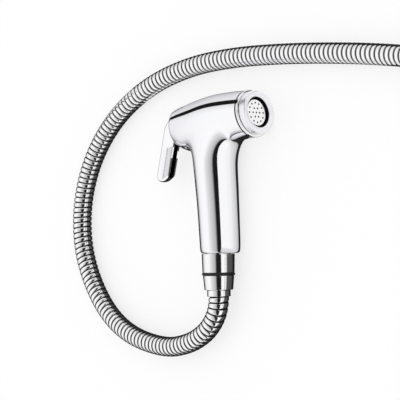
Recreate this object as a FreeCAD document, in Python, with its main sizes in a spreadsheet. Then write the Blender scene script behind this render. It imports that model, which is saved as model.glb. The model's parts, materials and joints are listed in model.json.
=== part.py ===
"""Handheld bidet shower: moulded handset with a rear lever valve, and its metal hose.

Handset frame: Z runs up the handle from its heel, X points to the spray side and
Y across. The finished part lies on its side on the floor with the hose around it.
"""
import FreeCAD, Part
import math
import os
import Sketcher

Vector = FreeCAD.Vector
Rotation = FreeCAD.Rotation
Placement = FreeCAD.Placement

# Driving dimensions, in millimetres and degrees. A formula ties a place to other sizes.
SIZES = {
    # handle
    "handle_low_radius": 14.9,
    "handle_mid_radius": 15.5,
    "handle_high_radius": 16.6,
    "handle_mid_height": 40,
    "handle_high_height": 70,
    "handle_top_drop": 2,
    "handle_top_height": "=barrel_height - handle_top_drop",
    "handle_top_radius": 13.2,
    "handle_low_centre": 1.0,
    "handle_mid_centre": -0.5,
    "handle_high_centre": -2.5,
    "heel_round": 3.2,
    "heel_floor": 13,
    "handle_cavity_radius": 11.6,
    # barrel
    "barrel_height": 95.0,
    "barrel_tilt": 7.8,
    "barrel_front": 34.6,
    "barrel_front_radius": 17.1,
    "crease_round": 6.5,
    # lever slot and pivot
    "slot_width": 8.2,
    "slot_front": -34.2,
    "slot_rear": -60,
    "slot_drop": 29,
    "slot_low": "=barrel_height - slot_drop",
    "slot_rise": 7.5,
    "slot_high": "=barrel_height + slot_rise",
    "pivot_x": -38.9,
    "pivot_rise": 2,
    "pivot_z": "=barrel_height + pivot_rise",
    "pin_radius": 1.5,
    "pin_fit": 0.06,
    "pin_inner_end": 7.6,
    "pin_outer_end": 9.6,
    "lever_travel": 12,
    # lever
    "lever_width": 7.4,
    "lever_wall": 1.4,
    "lever_tip_drop": 40.7,
    "lever_tip_z": "=barrel_height - lever_tip_drop",
    "lever_tip_back": -62.5,
    "lever_slant": 14.4,
    "lever_depth": 12.9,
    "lever_tip_rise": 3.2,
    "lever_edge_round": 2.6,
    # valve body
    "valve_radius": 12.9,
    "valve_fit": 0.15,
    "valve_bore": 9.5,
    "valve_nose_radius": 11.4,
    "valve_nose_start": 22,
    "valve_step": -12,
    "valve_neck_radius": 9.3,
    "valve_neck_end": -27,
    "seat_front": 9.5,
    "seat_back": 7.5,
    "seat_bore": 5.5,
    "chamber_back": -10,
    "gland_bore": 6.5,
    # gland
    "gland_head_radius": 8.4,
    "gland_head_length": 2.4,
    "gland_lead": 0.1,
    # stem
    "stem_radius": 2.0,
    "stem_fit": 0.08,
    "stem_back": -44,
    "stem_nose": 31,
    "poppet_radius": 8,
    "poppet_thickness": 2,
    "seal_thickness": 1.8,
    "seal_hub": 3.4,
    # spring and its cap
    "spring_radius": 5,
    "spring_wire": 0.6,
    "spring_turns": 5,
    "cap_start": 26,
    "cap_thickness": 2.2,
    "cap_port_radius": 1.9,
    "cap_port_pitch": 6.4,
    # nozzle
    "flange_proud": 0.3,
    "flange_radius": "=barrel_front_radius + flange_proud",
    "flange_gap": 0.3,
    "flange_thickness": 2,
    "skirt_radius": 14.2,
    "skirt_length": 10,
    "boss_radius": 13.2,
    "boss_length": 1.2,
    "ring_radius": 15.9,
    "ring_gap": 0.35,
    "ring_length": 5.6,
    "ring_lip": 3.2,
    "ring_dish": 1.0,
    "ring_mouth_radius": 10.9,
    "mouth_chamfer": 0.7,
    "ring_edge_round": 1.2,
    "plate_thickness": 1.2,
    "plate_radius": 13.1,
    "jet_radius": 0.65,
    "jet_inner_pitch": 3.5,
    "jet_outer_pitch": 7.2,
    # water tube in the handle
    "tube_radius": 6,
    "tube_wall": 1.3,
    "tube_top_drop": 11.4,
    "tube_top": "=barrel_height - tube_top_drop",
    "tube_fit": 0.1,
    "tube_centre": -1.2,
    # inlet connector
    "screw_radius": 9.2,
    "screw_fit": 0.08,
    "screw_length": 12.4,
    "collar_gap": 0.3,
    "collar_length": 13.9,
    "collar_radius": 12.1,
    "collar_taper": 0.35,
    "spigot_radius": 9.9,
    "spigot_length": 7.2,
    "inlet_bore": 5,
    "seal_cup_radius": 7.8,
    "seal_cup_depth": 2,
    "band_thickness": 1.8,
    "band_radius": 12.15,
    # hose ends
    "nut_radius": 11.45,
    "nut_end_radius": 10.5,
    "nut_length": 10.6,
    "nut_thread_depth": 5.6,
    "nut_bore": 10,
    "nut_cup_radius": 9.3,
    "nut_lip": 1.8,
    "washer_radius": 9.05,
    "washer_bore": 5.2,
    "washer_thickness": 1.7,
    "flange_disc": 1.3,
    "neck_radius": 7.5,
    "neck_fit": 0.1,
    "insert_bore": 4,
    "tail_radius": 5,
    "tail_length": 9,
    "ferrule_radius": 8.6,
    "ferrule_wall": 0.95,
    "ferrule_length": 4.6,
    "ferrule_overlap": 3.4,
    "hose_radius": 7.5,
}

# Ellipses across the barrel: place along its axis, top, bottom and half width.
BARREL_SECTIONS = {
    "brow": (25, 19.0, 16.5, 16.8),
    "crown": (10, 20.7, 16.6, 16.6),
    "back": (-8, 21.1, 17.2, 15.6),
    "hip": (-24, 20.3, 17.4, 13.4),
    "tail": (-35, 19.1, 12.9, 10.8),
    "stern": (-41.5, 17.9, 8.4, 9.2),
}

# Hose route after its straight start, from the ferrule's mouth: across, along the handle
# and lift over the floor. The last seven turn back where the hose is put away.
HOSE_ROUTE = (
    (-5.1, -20.9, 5.6),
    (-15.9, -31.3, 4.6),
    (-34.2, -39.4, 3.2),
    (-60.9, -43.2, 1.7),
    (-101.9, -34.4, 0.4),
    (-132.1, -13.2, 0.0),
    (-154.6, 24.5, 0.0),
    (-158.8, 64.5, 0.0),
    (-146.7, 103.1, 0.0),
    (-119.6, 135.6, 0.0),
    (-81.5, 157.8, 0.0),
    (-37.6, 169.0, 0.0),
    (6.9, 171.9, 0.0),
    (54.0, 170.2, 0.0),
    (99.9, 166.6, 0.0),
    (150.0, 160.9, 0.0),
    (226.0, 148.4, 0.0),
    (278.0, 120.6, 0.0),
    (302.2, 88.8, 0.0),
    (309.4, 51.5, 0.0),
    (299.6, 14.8, 0.0),
    (274.4, -16.3, 0.0),
    (236.0, -42.3, 0.0),
)
FIRST_RUN = 9.5
LAST_RUN = 42.0
LAST_HEADING = 151.0

doc = FreeCAD.newDocument("bidet_shower")
sheet = doc.addObject("Spreadsheet::Sheet", "Sizes")


def fill_sheet():
    """Write every driving dimension in its own named cell."""
    row = 1
    for name, value in SIZES.items():
        sheet.set("A%d" % row, name)
        sheet.set("B%d" % row, str(value))
        sheet.setAlias("B%d" % row, name)
        row += 1
    for name, numbers in BARREL_SECTIONS.items():
        for part_name, value in zip(("along", "top", "bottom", "side"), numbers):
            alias = name + "_" + part_name
            sheet.set("A%d" % row, alias)
            sheet.set("B%d" % row, str(value))
            sheet.setAlias("B%d" % row, alias)
            row += 1
    doc.recompute()


fill_sheet()


def size(name):
    return float(sheet.get(name))


BARREL = Placement(
    Vector(0, 0, size("barrel_height")),
    Rotation(Vector(0, 1, 0), -size("barrel_tilt")),
)
INLET = Placement(Vector(0, 0, 0), Rotation(Vector(0, 1, 0), 90))
PIVOT = Vector(size("pivot_x"), 0, size("pivot_z"))


def on_barrel(along, rise=0.0):
    """Point of the handset on the barrel's middle plane."""
    return BARREL.multVec(Vector(along, 0, rise))


def origin_plane(body, role):
    """The body's own origin plane of that role."""
    for feature in body.Origin.OriginFeatures:
        if feature.Role == role:
            return feature


def new_sketch(body, name, role="XY_Plane"):
    sketch = body.newObject("Sketcher::SketchObject", name)
    sketch.AttachmentSupport = (origin_plane(body, role), [""])
    sketch.MapMode = "FlatFace"
    return sketch


def draw_outline(sketch, corners):
    """Closed outline whose corners are bound to the sheet by expressions."""
    count = len(corners)
    start = []
    for index in range(count):
        turn = 2 * math.pi * index / count
        start.append(Vector(10 * math.cos(turn), 20 + 10 * math.sin(turn), 0))
    for index in range(count):
        sketch.addGeometry(Part.LineSegment(start[index], start[(index + 1) % count]), False)
    for index in range(count):
        sketch.addConstraint(Sketcher.Constraint("Coincident", index, 2, (index + 1) % count, 1))
    for index, corner in enumerate(corners):
        for kind, value, rule in (
            ("DistanceX", start[index].x, corner[0]),
            ("DistanceY", start[index].y, corner[1]),
        ):
            number = sketch.addConstraint(Sketcher.Constraint(kind, -1, 1, index, 1, value))
            sketch.setExpression("Constraints[%d]" % number, rule)


def draw_circle(sketch, across, up, radius):
    """Circle whose centre and radius are bound to the sheet."""
    index = sketch.addGeometry(Part.Circle(Vector(3, 4, 0), Vector(0, 0, 1), 2), False)
    for kind, value, rule in (("DistanceX", 3, across), ("DistanceY", 4, up)):
        number = sketch.addConstraint(Sketcher.Constraint(kind, -1, 1, index, 3, float(value)))
        sketch.setExpression("Constraints[%d]" % number, rule)
    number = sketch.addConstraint(Sketcher.Constraint("Radius", index, 2.0))
    sketch.setExpression("Constraints[%d]" % number, radius)


def turned(label, corners):
    """Body turned about its own X axis: corners are places along it and radii."""
    body = doc.addObject("PartDesign::Body", label)
    sketch = new_sketch(body, label + "_outline")
    draw_outline(sketch, corners)
    doc.recompute()
    turn = body.newObject("PartDesign::Revolution", label + "_turn")
    turn.Profile = sketch
    turn.ReferenceAxis = (sketch, ["H_Axis"])
    turn.Angle = 360
    sketch.Visibility = False
    doc.recompute()
    return body


def round_rims(body, rims, rule):
    """Fillet the circular edges at the given places along X and radii."""
    names = []
    for number, edge in enumerate(body.Shape.Edges, 1):
        curve = edge.Curve
        if not isinstance(curve, Part.Circle):
            continue
        for along, radius in rims:
            if abs(curve.Center.x - along) < 0.01 and abs(curve.Radius - radius) < 0.01:
                names.append("Edge%d" % number)
    solid = body.Tip
    fillet = body.newObject("PartDesign::Fillet", body.Name + "_round")
    fillet.Base = (solid, names)
    fillet.setExpression("Radius", rule)
    body.Tip = fillet
    doc.recompute()


def rubber_ring(label, ring_rule, section_rule):
    """O-ring, ring radius and section radius bound to the sheet."""
    ring = doc.addObject("Part::Torus", label)
    ring.setExpression("Radius1", ring_rule)
    ring.setExpression("Radius2", section_rule)
    return ring


def ring_place(along):
    """Place of an o-ring on a turned part's X axis."""
    return Placement(Vector(along, 0, 0), Rotation(Vector(0, 1, 0), 90))


def bound(kind, name, **rules):
    """Part primitive with its sizes bound to the sheet."""
    item = doc.addObject(kind, name)
    for prop, rule in rules.items():
        item.setExpression(prop, rule)
    return item


def handle_skin():
    """Round handle, a little fuller towards the barrel and leaning back."""
    sections = []
    for name, height, radius, centre in (
        ("low", "0", "Sizes.handle_low_radius - 0.3", "Sizes.handle_low_centre"),
        ("foot", "Sizes.heel_round * 2", "Sizes.handle_low_radius", "Sizes.handle_low_centre"),
        ("mid", "Sizes.handle_mid_height", "Sizes.handle_mid_radius", "Sizes.handle_mid_centre"),
        ("high", "Sizes.handle_high_height", "Sizes.handle_high_radius",
         "Sizes.handle_high_centre"),
        ("top", "Sizes.handle_top_height", "Sizes.handle_top_radius",
         "Sizes.handle_high_centre"),
    ):
        circle = bound("Part::Circle", "handle_" + name, Radius=radius)
        circle.setExpression("Placement.Base.x", centre)
        circle.setExpression("Placement.Base.z", height)
        sections.append(circle)
    loft = doc.addObject("Part::Loft", "handle_skin")
    loft.Sections = sections
    loft.Solid = True
    return loft


def barrel_skin():
    """Barrel that swells over its back and narrows to the lever end."""
    across = Rotation(Vector(0, 1, 0), -(90 + size("barrel_tilt")))
    sections = []
    front = bound(
        "Part::Ellipse", "barrel_front_section",
        MajorRadius="Sizes.barrel_front_radius", MinorRadius="Sizes.barrel_front_radius",
    )
    front.Placement = Placement(on_barrel(size("barrel_front")), across)
    sections.append(front)
    for name in BARREL_SECTIONS:
        ellipse = bound(
            "Part::Ellipse", "barrel_" + name,
            MajorRadius="(Sizes.%s_top + Sizes.%s_bottom) / 2" % (name, name),
            MinorRadius="Sizes.%s_side" % name,
        )
        rise = (size(name + "_top") - size(name + "_bottom")) / 2
        ellipse.Placement = Placement(on_barrel(size(name + "_along"), rise), across)
        sections.append(ellipse)
    loft = doc.addObject("Part::Loft", "barrel_skin")
    loft.Sections = sections
    loft.Solid = True
    return loft


def barrel_hole(name, start, end, radius_rule):
    """Round bore on the barrel's axis between two places along it."""
    hole = bound("Part::Cylinder", name, Radius=radius_rule)
    hole.Height = end - start
    hole.Placement = Placement(on_barrel(start), Rotation(Vector(0, 1, 0), 90 - size("barrel_tilt")))
    return hole


def post(name, low, high, radius_rule, centre_rule="0"):
    """Upright cylinder in the handle between two heights."""
    cylinder = bound("Part::Cylinder", name, Radius=radius_rule)
    cylinder.Height = high - low
    cylinder.Placement = Placement(Vector(0, 0, low), Rotation())
    cylinder.setExpression("Placement.Base.x", centre_rule)
    return cylinder


def cross_hole(name, low, high, radius_rule):
    """Round hole across the handset at the lever's pivot, between two lateral places."""
    hole = bound("Part::Cylinder", name, Radius=radius_rule)
    hole.Height = high - low
    hole.Placement = Placement(Vector(PIVOT.x, low, PIVOT.z), Rotation(Vector(1, 0, 0), -90))
    return hole


def crease_edges(shape):
    """Numbers of the edges where the handle runs into the barrel."""
    found = []
    for number, edge in enumerate(shape.Edges, 1):
        box = edge.BoundBox
        low = size("slot_low") < box.ZMin and box.ZMax < size("barrel_height")
        between = size("slot_front") < box.XMin and box.XMax < size("barrel_front")
        if low and between and edge.Length > size("heel_round"):
            found.append(number)
    return found


def body_shell():
    """One hollow moulding: handle, barrel, lever slot and pin cheeks."""
    skin = doc.addObject("Part::MultiFuse", "body_skin")
    skin.Shapes = [handle_skin(), barrel_skin()]
    doc.recompute()
    smooth = doc.addObject("Part::Fillet", "body_smooth")
    smooth.Base = skin
    edges = []
    for number in crease_edges(skin.Shape):
        edges.append((number, size("crease_round"), size("crease_round")))
    for number, edge in enumerate(skin.Shape.Edges, 1):
        if abs(edge.BoundBox.ZMax) < 0.01:
            edges.append((number, size("heel_round"), size("heel_round")))
    smooth.Edges = edges
    doc.recompute()
    slot = doc.addObject("Part::Box", "lever_slot")
    slot.setExpression("Width", "Sizes.slot_width")
    slot.setExpression("Length", "Sizes.slot_front - Sizes.slot_rear")
    slot.setExpression("Height", "Sizes.slot_high - Sizes.slot_low")
    slot.setExpression("Placement.Base.x", "Sizes.slot_rear")
    slot.setExpression("Placement.Base.y", "-Sizes.slot_width / 2")
    slot.setExpression("Placement.Base.z", "Sizes.slot_low")
    tools = [
        slot,
        barrel_hole("skirt_bore", size("valve_nose_start"), size("barrel_front") + 1,
                    "Sizes.skirt_radius + Sizes.valve_fit"),
        barrel_hole("valve_bore_cut", size("valve_step"), size("valve_nose_start") + 0.5,
                    "Sizes.valve_radius + Sizes.valve_fit"),
        barrel_hole("neck_bore_cut", size("valve_neck_end") - 0.2, size("valve_step") + 0.5,
                    "Sizes.valve_neck_radius + Sizes.valve_fit"),
        barrel_hole("stem_bore_cut", size("valve_neck_end") - 12, size("valve_neck_end") + 0.5,
                    "Sizes.gland_head_radius * 0.55"),
        post("handle_cavity", size("heel_floor"), size("tube_top") + size("valve_fit"),
             "Sizes.handle_cavity_radius", "Sizes.tube_centre"),
        post("heel_bore", -1, size("heel_floor") + 1, "Sizes.screw_radius + Sizes.screw_fit",
             "Sizes.tube_centre"),
        cross_hole("pin_bore_cut", -size("pin_inner_end") - 0.1, 20,
                   "Sizes.pin_radius + Sizes.pin_fit"),
    ]
    hollow = doc.addObject("Part::MultiFuse", "body_hollow")
    hollow.Shapes = tools
    shell = doc.addObject("Part::Cut", "body_shell")
    shell.Base = smooth
    shell.Tool = hollow
    return shell


def valve_body():
    """Stepped valve housing with its seat, bored for the water tube from below."""
    corners = (
        ("Sizes.valve_neck_end", "Sizes.gland_bore"),
        ("Sizes.valve_neck_end", "Sizes.valve_neck_radius"),
        ("Sizes.valve_step + 0.2", "Sizes.valve_neck_radius"),
        ("Sizes.valve_step + 0.2", "Sizes.valve_radius"),
        ("Sizes.valve_nose_start - 0.2", "Sizes.valve_radius"),
        ("Sizes.valve_nose_start - 0.2", "Sizes.valve_nose_radius"),
        ("Sizes.barrel_front + Sizes.flange_gap + Sizes.flange_thickness + Sizes.boss_length",
         "Sizes.valve_nose_radius"),
        ("Sizes.barrel_front + Sizes.flange_gap + Sizes.flange_thickness + Sizes.boss_length",
         "Sizes.valve_bore"),
        ("Sizes.seat_front - 0.6", "Sizes.valve_bore"),
        ("Sizes.seat_front - 0.6", "Sizes.seat_bore + 1.2"),
        ("Sizes.seat_front", "Sizes.seat_bore + 0.6"),
        ("Sizes.seat_front", "Sizes.seat_bore"),
        ("Sizes.seat_back", "Sizes.seat_bore"),
        ("Sizes.seat_back", "Sizes.valve_bore"),
        ("Sizes.chamber_back", "Sizes.valve_bore"),
        ("Sizes.chamber_back", "Sizes.gland_bore"),
    )
    body = turned("valve_body_turned", corners)
    body.Placement = BARREL
    port = post("tube_port", size("slot_low"), size("barrel_height"), "Sizes.tube_radius + Sizes.tube_fit",
                "Sizes.tube_centre")
    housing = doc.addObject("Part::Cut", "valve_body")
    housing.Base = body
    housing.Tool = port
    return housing


def stem_gland():
    """Screwed guide that closes the valve's rear and carries the stem seal."""
    head = "Sizes.valve_neck_end - Sizes.gland_lead"
    body = turned("stem_gland", (
        (head + " - Sizes.gland_head_length", "Sizes.stem_radius + Sizes.stem_fit"),
        (head + " - Sizes.gland_head_length", "Sizes.gland_head_radius * 0.5"),
        (head, "Sizes.gland_head_radius * 0.5"),
        (head, "Sizes.gland_bore - 0.1"),
        ("Sizes.chamber_back - 4", "Sizes.gland_bore - 0.1"),
        ("Sizes.chamber_back - 4", "Sizes.gland_bore - 1.1"),
        ("Sizes.chamber_back - 2", "Sizes.gland_bore - 1.1"),
        ("Sizes.chamber_back - 2", "Sizes.gland_bore - 0.1"),
        ("Sizes.chamber_back - 0.5", "Sizes.gland_bore - 0.1"),
        ("Sizes.chamber_back - 0.5", "Sizes.stem_radius + 1.9"),
        ("Sizes.chamber_back - 2.8", "Sizes.stem_radius + 1.9"),
        ("Sizes.chamber_back - 2.8", "Sizes.stem_radius + Sizes.stem_fit"),
    ))
    return body


def valve_stem():
    """Turned stem with its poppet disc; its rounded rear end meets the lever."""
    disc_back = "Sizes.seat_front + Sizes.seal_thickness"
    disc_front = disc_back + " + Sizes.poppet_thickness"
    body = turned("valve_stem", (
        ("Sizes.stem_back", "0"),
        ("Sizes.stem_back", "Sizes.stem_radius - 1"),
        ("Sizes.stem_back + 1", "Sizes.stem_radius"),
        ("Sizes.seat_front", "Sizes.stem_radius"),
        ("Sizes.seat_front", "Sizes.seal_hub - 0.1"),
        (disc_back, "Sizes.seal_hub - 0.1"),
        (disc_back, "Sizes.poppet_radius"),
        (disc_front, "Sizes.poppet_radius"),
        (disc_front, "Sizes.stem_radius"),
        ("Sizes.stem_nose", "Sizes.stem_radius"),
        ("Sizes.stem_nose", "0"),
    ))
    return body


def flat_ring(label, start, end, inner, outer):
    return turned(label, ((start, inner), (start, outer), (end, outer), (end, inner)))


def valve_spring():
    """Coil spring between the poppet and the cap."""
    start = size("seat_front") + size("seal_thickness") + size("poppet_thickness")
    length = size("cap_start") - start
    wire = size("spring_wire")
    helix = doc.addObject("Part::Helix", "spring_line")
    helix.Height = length - 2 * wire - 0.1
    helix.Pitch = helix.Height / size("spring_turns")
    helix.setExpression("Radius", "Sizes.spring_radius")
    wire_section = bound("Part::Circle", "spring_section", Radius="Sizes.spring_wire")
    wire_section.Placement = Placement(
        Vector(size("spring_radius"), 0, 0), Rotation(Vector(1, 0, 0), 90)
    )
    doc.recompute()
    coil = doc.addObject("Part::Sweep", "valve_spring")
    coil.Sections = [wire_section]
    coil.Spine = (helix, ["Edge%d" % (i + 1) for i in range(len(helix.Shape.Edges))])
    coil.Solid = True
    coil.Frenet = True
    doc.recompute()
    along = Placement(Vector(start + wire + 0.05, 0, 0), Rotation(Vector(0, 1, 0), 90))
    coil.Placement = along
    return coil


def ring_of_holes(body, name, pitch_rule, radius_rule, count):
    """Pocket one round hole through a disc and repeat it round the axis."""
    sketch = new_sketch(body, name + "_outline", "YZ_Plane")
    draw_circle(sketch, pitch_rule, "0", radius_rule)
    doc.recompute()
    before = body.Shape.Volume
    pocket = body.newObject("PartDesign::Pocket", name + "_pocket")
    pocket.Profile = sketch
    pocket.Type = "ThroughAll"
    pocket.Midplane = True
    sketch.Visibility = False
    doc.recompute()
    if body.Shape.Volume >= before:
        raise ValueError(name + " cuts nothing")
    if count > 1:
        pattern = body.newObject("PartDesign::PolarPattern", name + "_pattern")
        pattern.Originals = [pocket]
        pattern.Axis = (sketch, ["N_Axis"])
        pattern.Angle = 360
        pattern.Occurrences = count
        body.Tip = pattern
        doc.recompute()


def spring_cap():
    """Perforated disc that carries the spring and guides the stem's nose."""
    body = flat_ring(
        "spring_cap", "Sizes.cap_start", "Sizes.cap_start + Sizes.cap_thickness",
        "Sizes.stem_radius + Sizes.stem_fit", "Sizes.valve_bore - 0.1",
    )
    ring_of_holes(body, "cap_port", "Sizes.cap_port_pitch", "Sizes.cap_port_radius", 6)
    return body


FLANGE_BACK = "Sizes.barrel_front + Sizes.flange_gap"
FLANGE_FRONT = FLANGE_BACK + " + Sizes.flange_thickness"
BOSS_FRONT = FLANGE_FRONT + " + Sizes.boss_length"
RING_BACK = FLANGE_FRONT + " + Sizes.ring_gap"
RING_FRONT = RING_BACK + " + Sizes.ring_length"
LIP_BACK = RING_FRONT + " - Sizes.ring_lip"
PLATE_BACK = LIP_BACK + " - Sizes.plate_thickness"


def flange_back():
    return size("barrel_front") + size("flange_gap")


def flange_front():
    return flange_back() + size("flange_thickness")


def ring_front():
    return flange_front() + size("ring_gap") + size("ring_length")


def nozzle_flange():
    """Chromed ring screwed into the barrel's front, with a boss for the face ring."""
    body = turned("nozzle_flange", (
        (FLANGE_BACK + " - Sizes.skirt_length", "Sizes.valve_nose_radius + Sizes.valve_fit"),
        (FLANGE_BACK + " - Sizes.skirt_length", "Sizes.skirt_radius"),
        (FLANGE_BACK, "Sizes.skirt_radius"),
        (FLANGE_BACK, "Sizes.flange_radius"),
        (FLANGE_FRONT, "Sizes.flange_radius"),
        (FLANGE_FRONT, "Sizes.boss_radius"),
        (BOSS_FRONT, "Sizes.boss_radius"),
        (BOSS_FRONT, "Sizes.valve_nose_radius + Sizes.valve_fit"),
    ))
    round_rims(
        body,
        ((flange_back(), size("flange_radius")), (flange_front(), size("flange_radius"))),
        "min(Sizes.flange_thickness * 0.32; (Sizes.flange_radius - Sizes.skirt_radius) / 3)",
    )
    return body


def face_ring():
    """Satin cap ring whose lip holds the spray plate."""
    body = turned("face_ring", (
        (RING_BACK, "Sizes.boss_radius + Sizes.valve_fit"),
        (RING_BACK, "Sizes.ring_radius"),
        (RING_FRONT, "Sizes.ring_radius"),
        (RING_FRONT, "Sizes.ring_radius - Sizes.ring_edge_round - 0.4"),
        (RING_FRONT + " - Sizes.ring_dish", "Sizes.ring_mouth_radius + Sizes.mouth_chamfer"),
        (RING_FRONT + " - Sizes.ring_dish - Sizes.mouth_chamfer", "Sizes.ring_mouth_radius"),
        (LIP_BACK, "Sizes.ring_mouth_radius"),
        (LIP_BACK, "Sizes.boss_radius + Sizes.valve_fit"),
    ))
    round_rims(body, ((ring_front(), size("ring_radius")),), "Sizes.ring_edge_round")
    return body


def spray_plate():
    """Round plate with one, six and twelve jets on its circles."""
    body = turned("spray_plate", (
        (PLATE_BACK, "0"),
        (PLATE_BACK, "Sizes.plate_radius"),
        (LIP_BACK, "Sizes.plate_radius"),
        (LIP_BACK, "0"),
    ))
    ring_of_holes(body, "middle_jet", "0", "Sizes.jet_radius", 1)
    ring_of_holes(body, "inner_jet", "Sizes.jet_inner_pitch", "Sizes.jet_radius", 6)
    ring_of_holes(body, "outer_jet", "Sizes.jet_outer_pitch", "Sizes.jet_radius", 12)
    return body


def lever_points(inset=0.0):
    """Side outline of the lever, tip to head, as rules for X and Z."""
    slant = "tan(Sizes.lever_slant)"
    depth = "(Sizes.lever_depth / cos(Sizes.lever_slant))"
    back = "(Sizes.lever_tip_back + %g / cos(Sizes.lever_slant))" % inset
    low = "(Sizes.lever_tip_z + %g)" % inset
    heel = "(%s + Sizes.lever_tip_rise)" % low
    neck = "(Sizes.pivot_z - 2)"

    def on_back(height, share="0"):
        return "%s + (%s - Sizes.lever_tip_z) * %s + %s * %s" % (
            back, height, slant, share, depth)

    return (
        (on_back(heel), heel),
        (on_back(neck), neck),
        ("Sizes.pivot_x - 9.8 + %g" % inset, "Sizes.pivot_z + 2.4 - %g" % (inset * 0.6)),
        ("Sizes.pivot_x - 4.6", "Sizes.pivot_z + 4.2 - %g" % inset),
        ("Sizes.pivot_x + 1.2", "Sizes.pivot_z + 3.6 - %g" % inset),
        ("Sizes.pivot_x + 3.4 + %g" % (4 * inset), "Sizes.pivot_z"),
        (on_back("(Sizes.pivot_z - 8)", "1"), "Sizes.pivot_z - 8"),
        (on_back(heel, "1"), heel),
        (on_back(low, "0.66"), low),
        (on_back(low, "0.3"), low),
    )


def lever():
    """U-shaped lever, closed at its tip and head, with the nub that pushes the stem."""
    body = doc.addObject("PartDesign::Body", "lever")
    outline = new_sketch(body, "lever_side", "XZ_Plane")
    draw_outline(outline, lever_points())
    doc.recompute()
    pad = body.newObject("PartDesign::Pad", "lever_block")
    pad.Profile = outline
    pad.Midplane = True
    pad.setExpression("Length", "Sizes.lever_width")
    doc.recompute()
    names = []
    for number, edge in enumerate(body.Shape.Edges, 1):
        box = edge.BoundBox
        along_side = abs(abs(box.YMin) - size("lever_width") / 2) < 0.01 and box.YLength < 0.01
        if along_side and box.XMax < size("pivot_x") - 8:
            names.append("Edge%d" % number)
    fillet = body.newObject("PartDesign::Fillet", "lever_edges")
    fillet.Base = (pad, names)
    fillet.setExpression("Radius", "Sizes.lever_edge_round")
    body.Tip = fillet
    doc.recompute()
    hollow = new_sketch(body, "lever_hollow", "XZ_Plane")
    draw_outline(hollow, lever_points(size("lever_wall")))
    doc.recompute()
    before = body.Shape.Volume
    pocket = body.newObject("PartDesign::Pocket", "lever_channel")
    pocket.Profile = hollow
    pocket.Midplane = True
    pocket.setExpression("Length", "Sizes.lever_width - 2 * Sizes.lever_wall")
    doc.recompute()
    if body.Shape.Volume >= before:
        raise ValueError("the lever's channel cuts nothing")
    nub_tip = on_barrel(size("stem_back") - 0.3)
    nub = new_sketch(body, "lever_nub_side", "XZ_Plane")
    back_line = "Sizes.lever_tip_back + Sizes.lever_wall"
    draw_outline(nub, (
        (back_line + " + (%g - Sizes.lever_tip_z) * tan(Sizes.lever_slant) - 0.2"
         % (nub_tip.z - 2.5), "%g" % (nub_tip.z - 2.5)),
        ("%g" % nub_tip.x, "%g" % (nub_tip.z - 1.8)),
        ("%g" % nub_tip.x, "%g" % (nub_tip.z + 1.8)),
        (back_line + " + (%g - Sizes.lever_tip_z) * tan(Sizes.lever_slant) - 0.2"
         % (nub_tip.z + 2.5), "%g" % (nub_tip.z + 2.5)),
    ))
    doc.recompute()
    rib = body.newObject("PartDesign::Pad", "lever_nub")
    rib.Profile = nub
    rib.Midplane = True
    rib.setExpression("Length", "Sizes.lever_width - Sizes.lever_wall")
    doc.recompute()
    hole = new_sketch(body, "lever_pin_hole", "XZ_Plane")
    draw_circle(hole, "Sizes.pivot_x", "Sizes.pivot_z", "Sizes.pin_radius + Sizes.pin_fit")
    doc.recompute()
    drill = body.newObject("PartDesign::Pocket", "lever_pin_bore")
    drill.Profile = hole
    drill.Midplane = True
    drill.Type = "ThroughAll"
    doc.recompute()
    return body


def lever_pin():
    """Steel pivot pin, blind in one cheek and flush with the other."""
    pin = bound(
        "Part::Cylinder", "lever_pin",
        Radius="Sizes.pin_radius", Height="Sizes.pin_inner_end + Sizes.pin_outer_end",
    )
    pin.Placement = Placement(
        Vector(PIVOT.x, -size("pin_inner_end"), PIVOT.z), Rotation(Vector(1, 0, 0), -90)
    )
    return pin


def supply_tube():
    """Water tube up the handle, from the inlet connector into the valve body."""
    return flat_ring(
        "supply_tube", "Sizes.screw_length - 6", "Sizes.tube_top",
        "Sizes.tube_radius - Sizes.tube_wall", "Sizes.tube_radius",
    )


COLLAR_TOP = "Sizes.collar_gap"
COLLAR_END = COLLAR_TOP + " + Sizes.collar_length"
BAND_END = COLLAR_END + " + 0.05 + Sizes.band_thickness"


def collar_end():
    return size("collar_gap") + size("collar_length")


def band_end():
    return collar_end() + 0.05 + size("band_thickness")


def inlet_connector():
    """Chromed brass inlet: screw in the heel, smooth collar and male pipe thread."""
    cup = "-Sizes.screw_length + Sizes.seal_cup_depth"
    body = turned("inlet_connector", (
        ("-Sizes.screw_length", "Sizes.seal_cup_radius"),
        ("-Sizes.screw_length", "Sizes.screw_radius"),
        (COLLAR_TOP, "Sizes.screw_radius"),
        (COLLAR_TOP, "Sizes.collar_radius"),
        (COLLAR_END, "Sizes.collar_radius - Sizes.collar_taper"),
        (COLLAR_END, "Sizes.spigot_radius"),
        (COLLAR_END + " + Sizes.spigot_length", "Sizes.spigot_radius"),
        (COLLAR_END + " + Sizes.spigot_length", "Sizes.inlet_bore"),
        ("-Sizes.screw_length + 7", "Sizes.inlet_bore"),
        ("-Sizes.screw_length + 7", "Sizes.tube_radius + Sizes.tube_fit"),
        (cup, "Sizes.tube_radius + Sizes.tube_fit"),
        (cup, "Sizes.seal_cup_radius"),
    ))
    round_rims(
        body,
        ((size("collar_gap"), size("collar_radius")),
         (collar_end(), size("collar_radius") - size("collar_taper"))),
        "Sizes.collar_taper + 0.1",
    )
    return body


# Hose ends are drawn from the nut's wide face at zero to the hose.
LIP_IN = "Sizes.nut_length - Sizes.nut_lip"
DISC_IN = LIP_IN + " - 0.1 - Sizes.flange_disc"
NECK_END = "Sizes.nut_length + Sizes.ferrule_length - Sizes.ferrule_overlap"


def hose_start():
    """Distance from the nut's wide face to the hose's end face."""
    return size("nut_length") + size("ferrule_length") - size("ferrule_overlap")


def ferrule_mouth():
    return size("nut_length") + 0.15 + size("ferrule_length")


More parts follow.
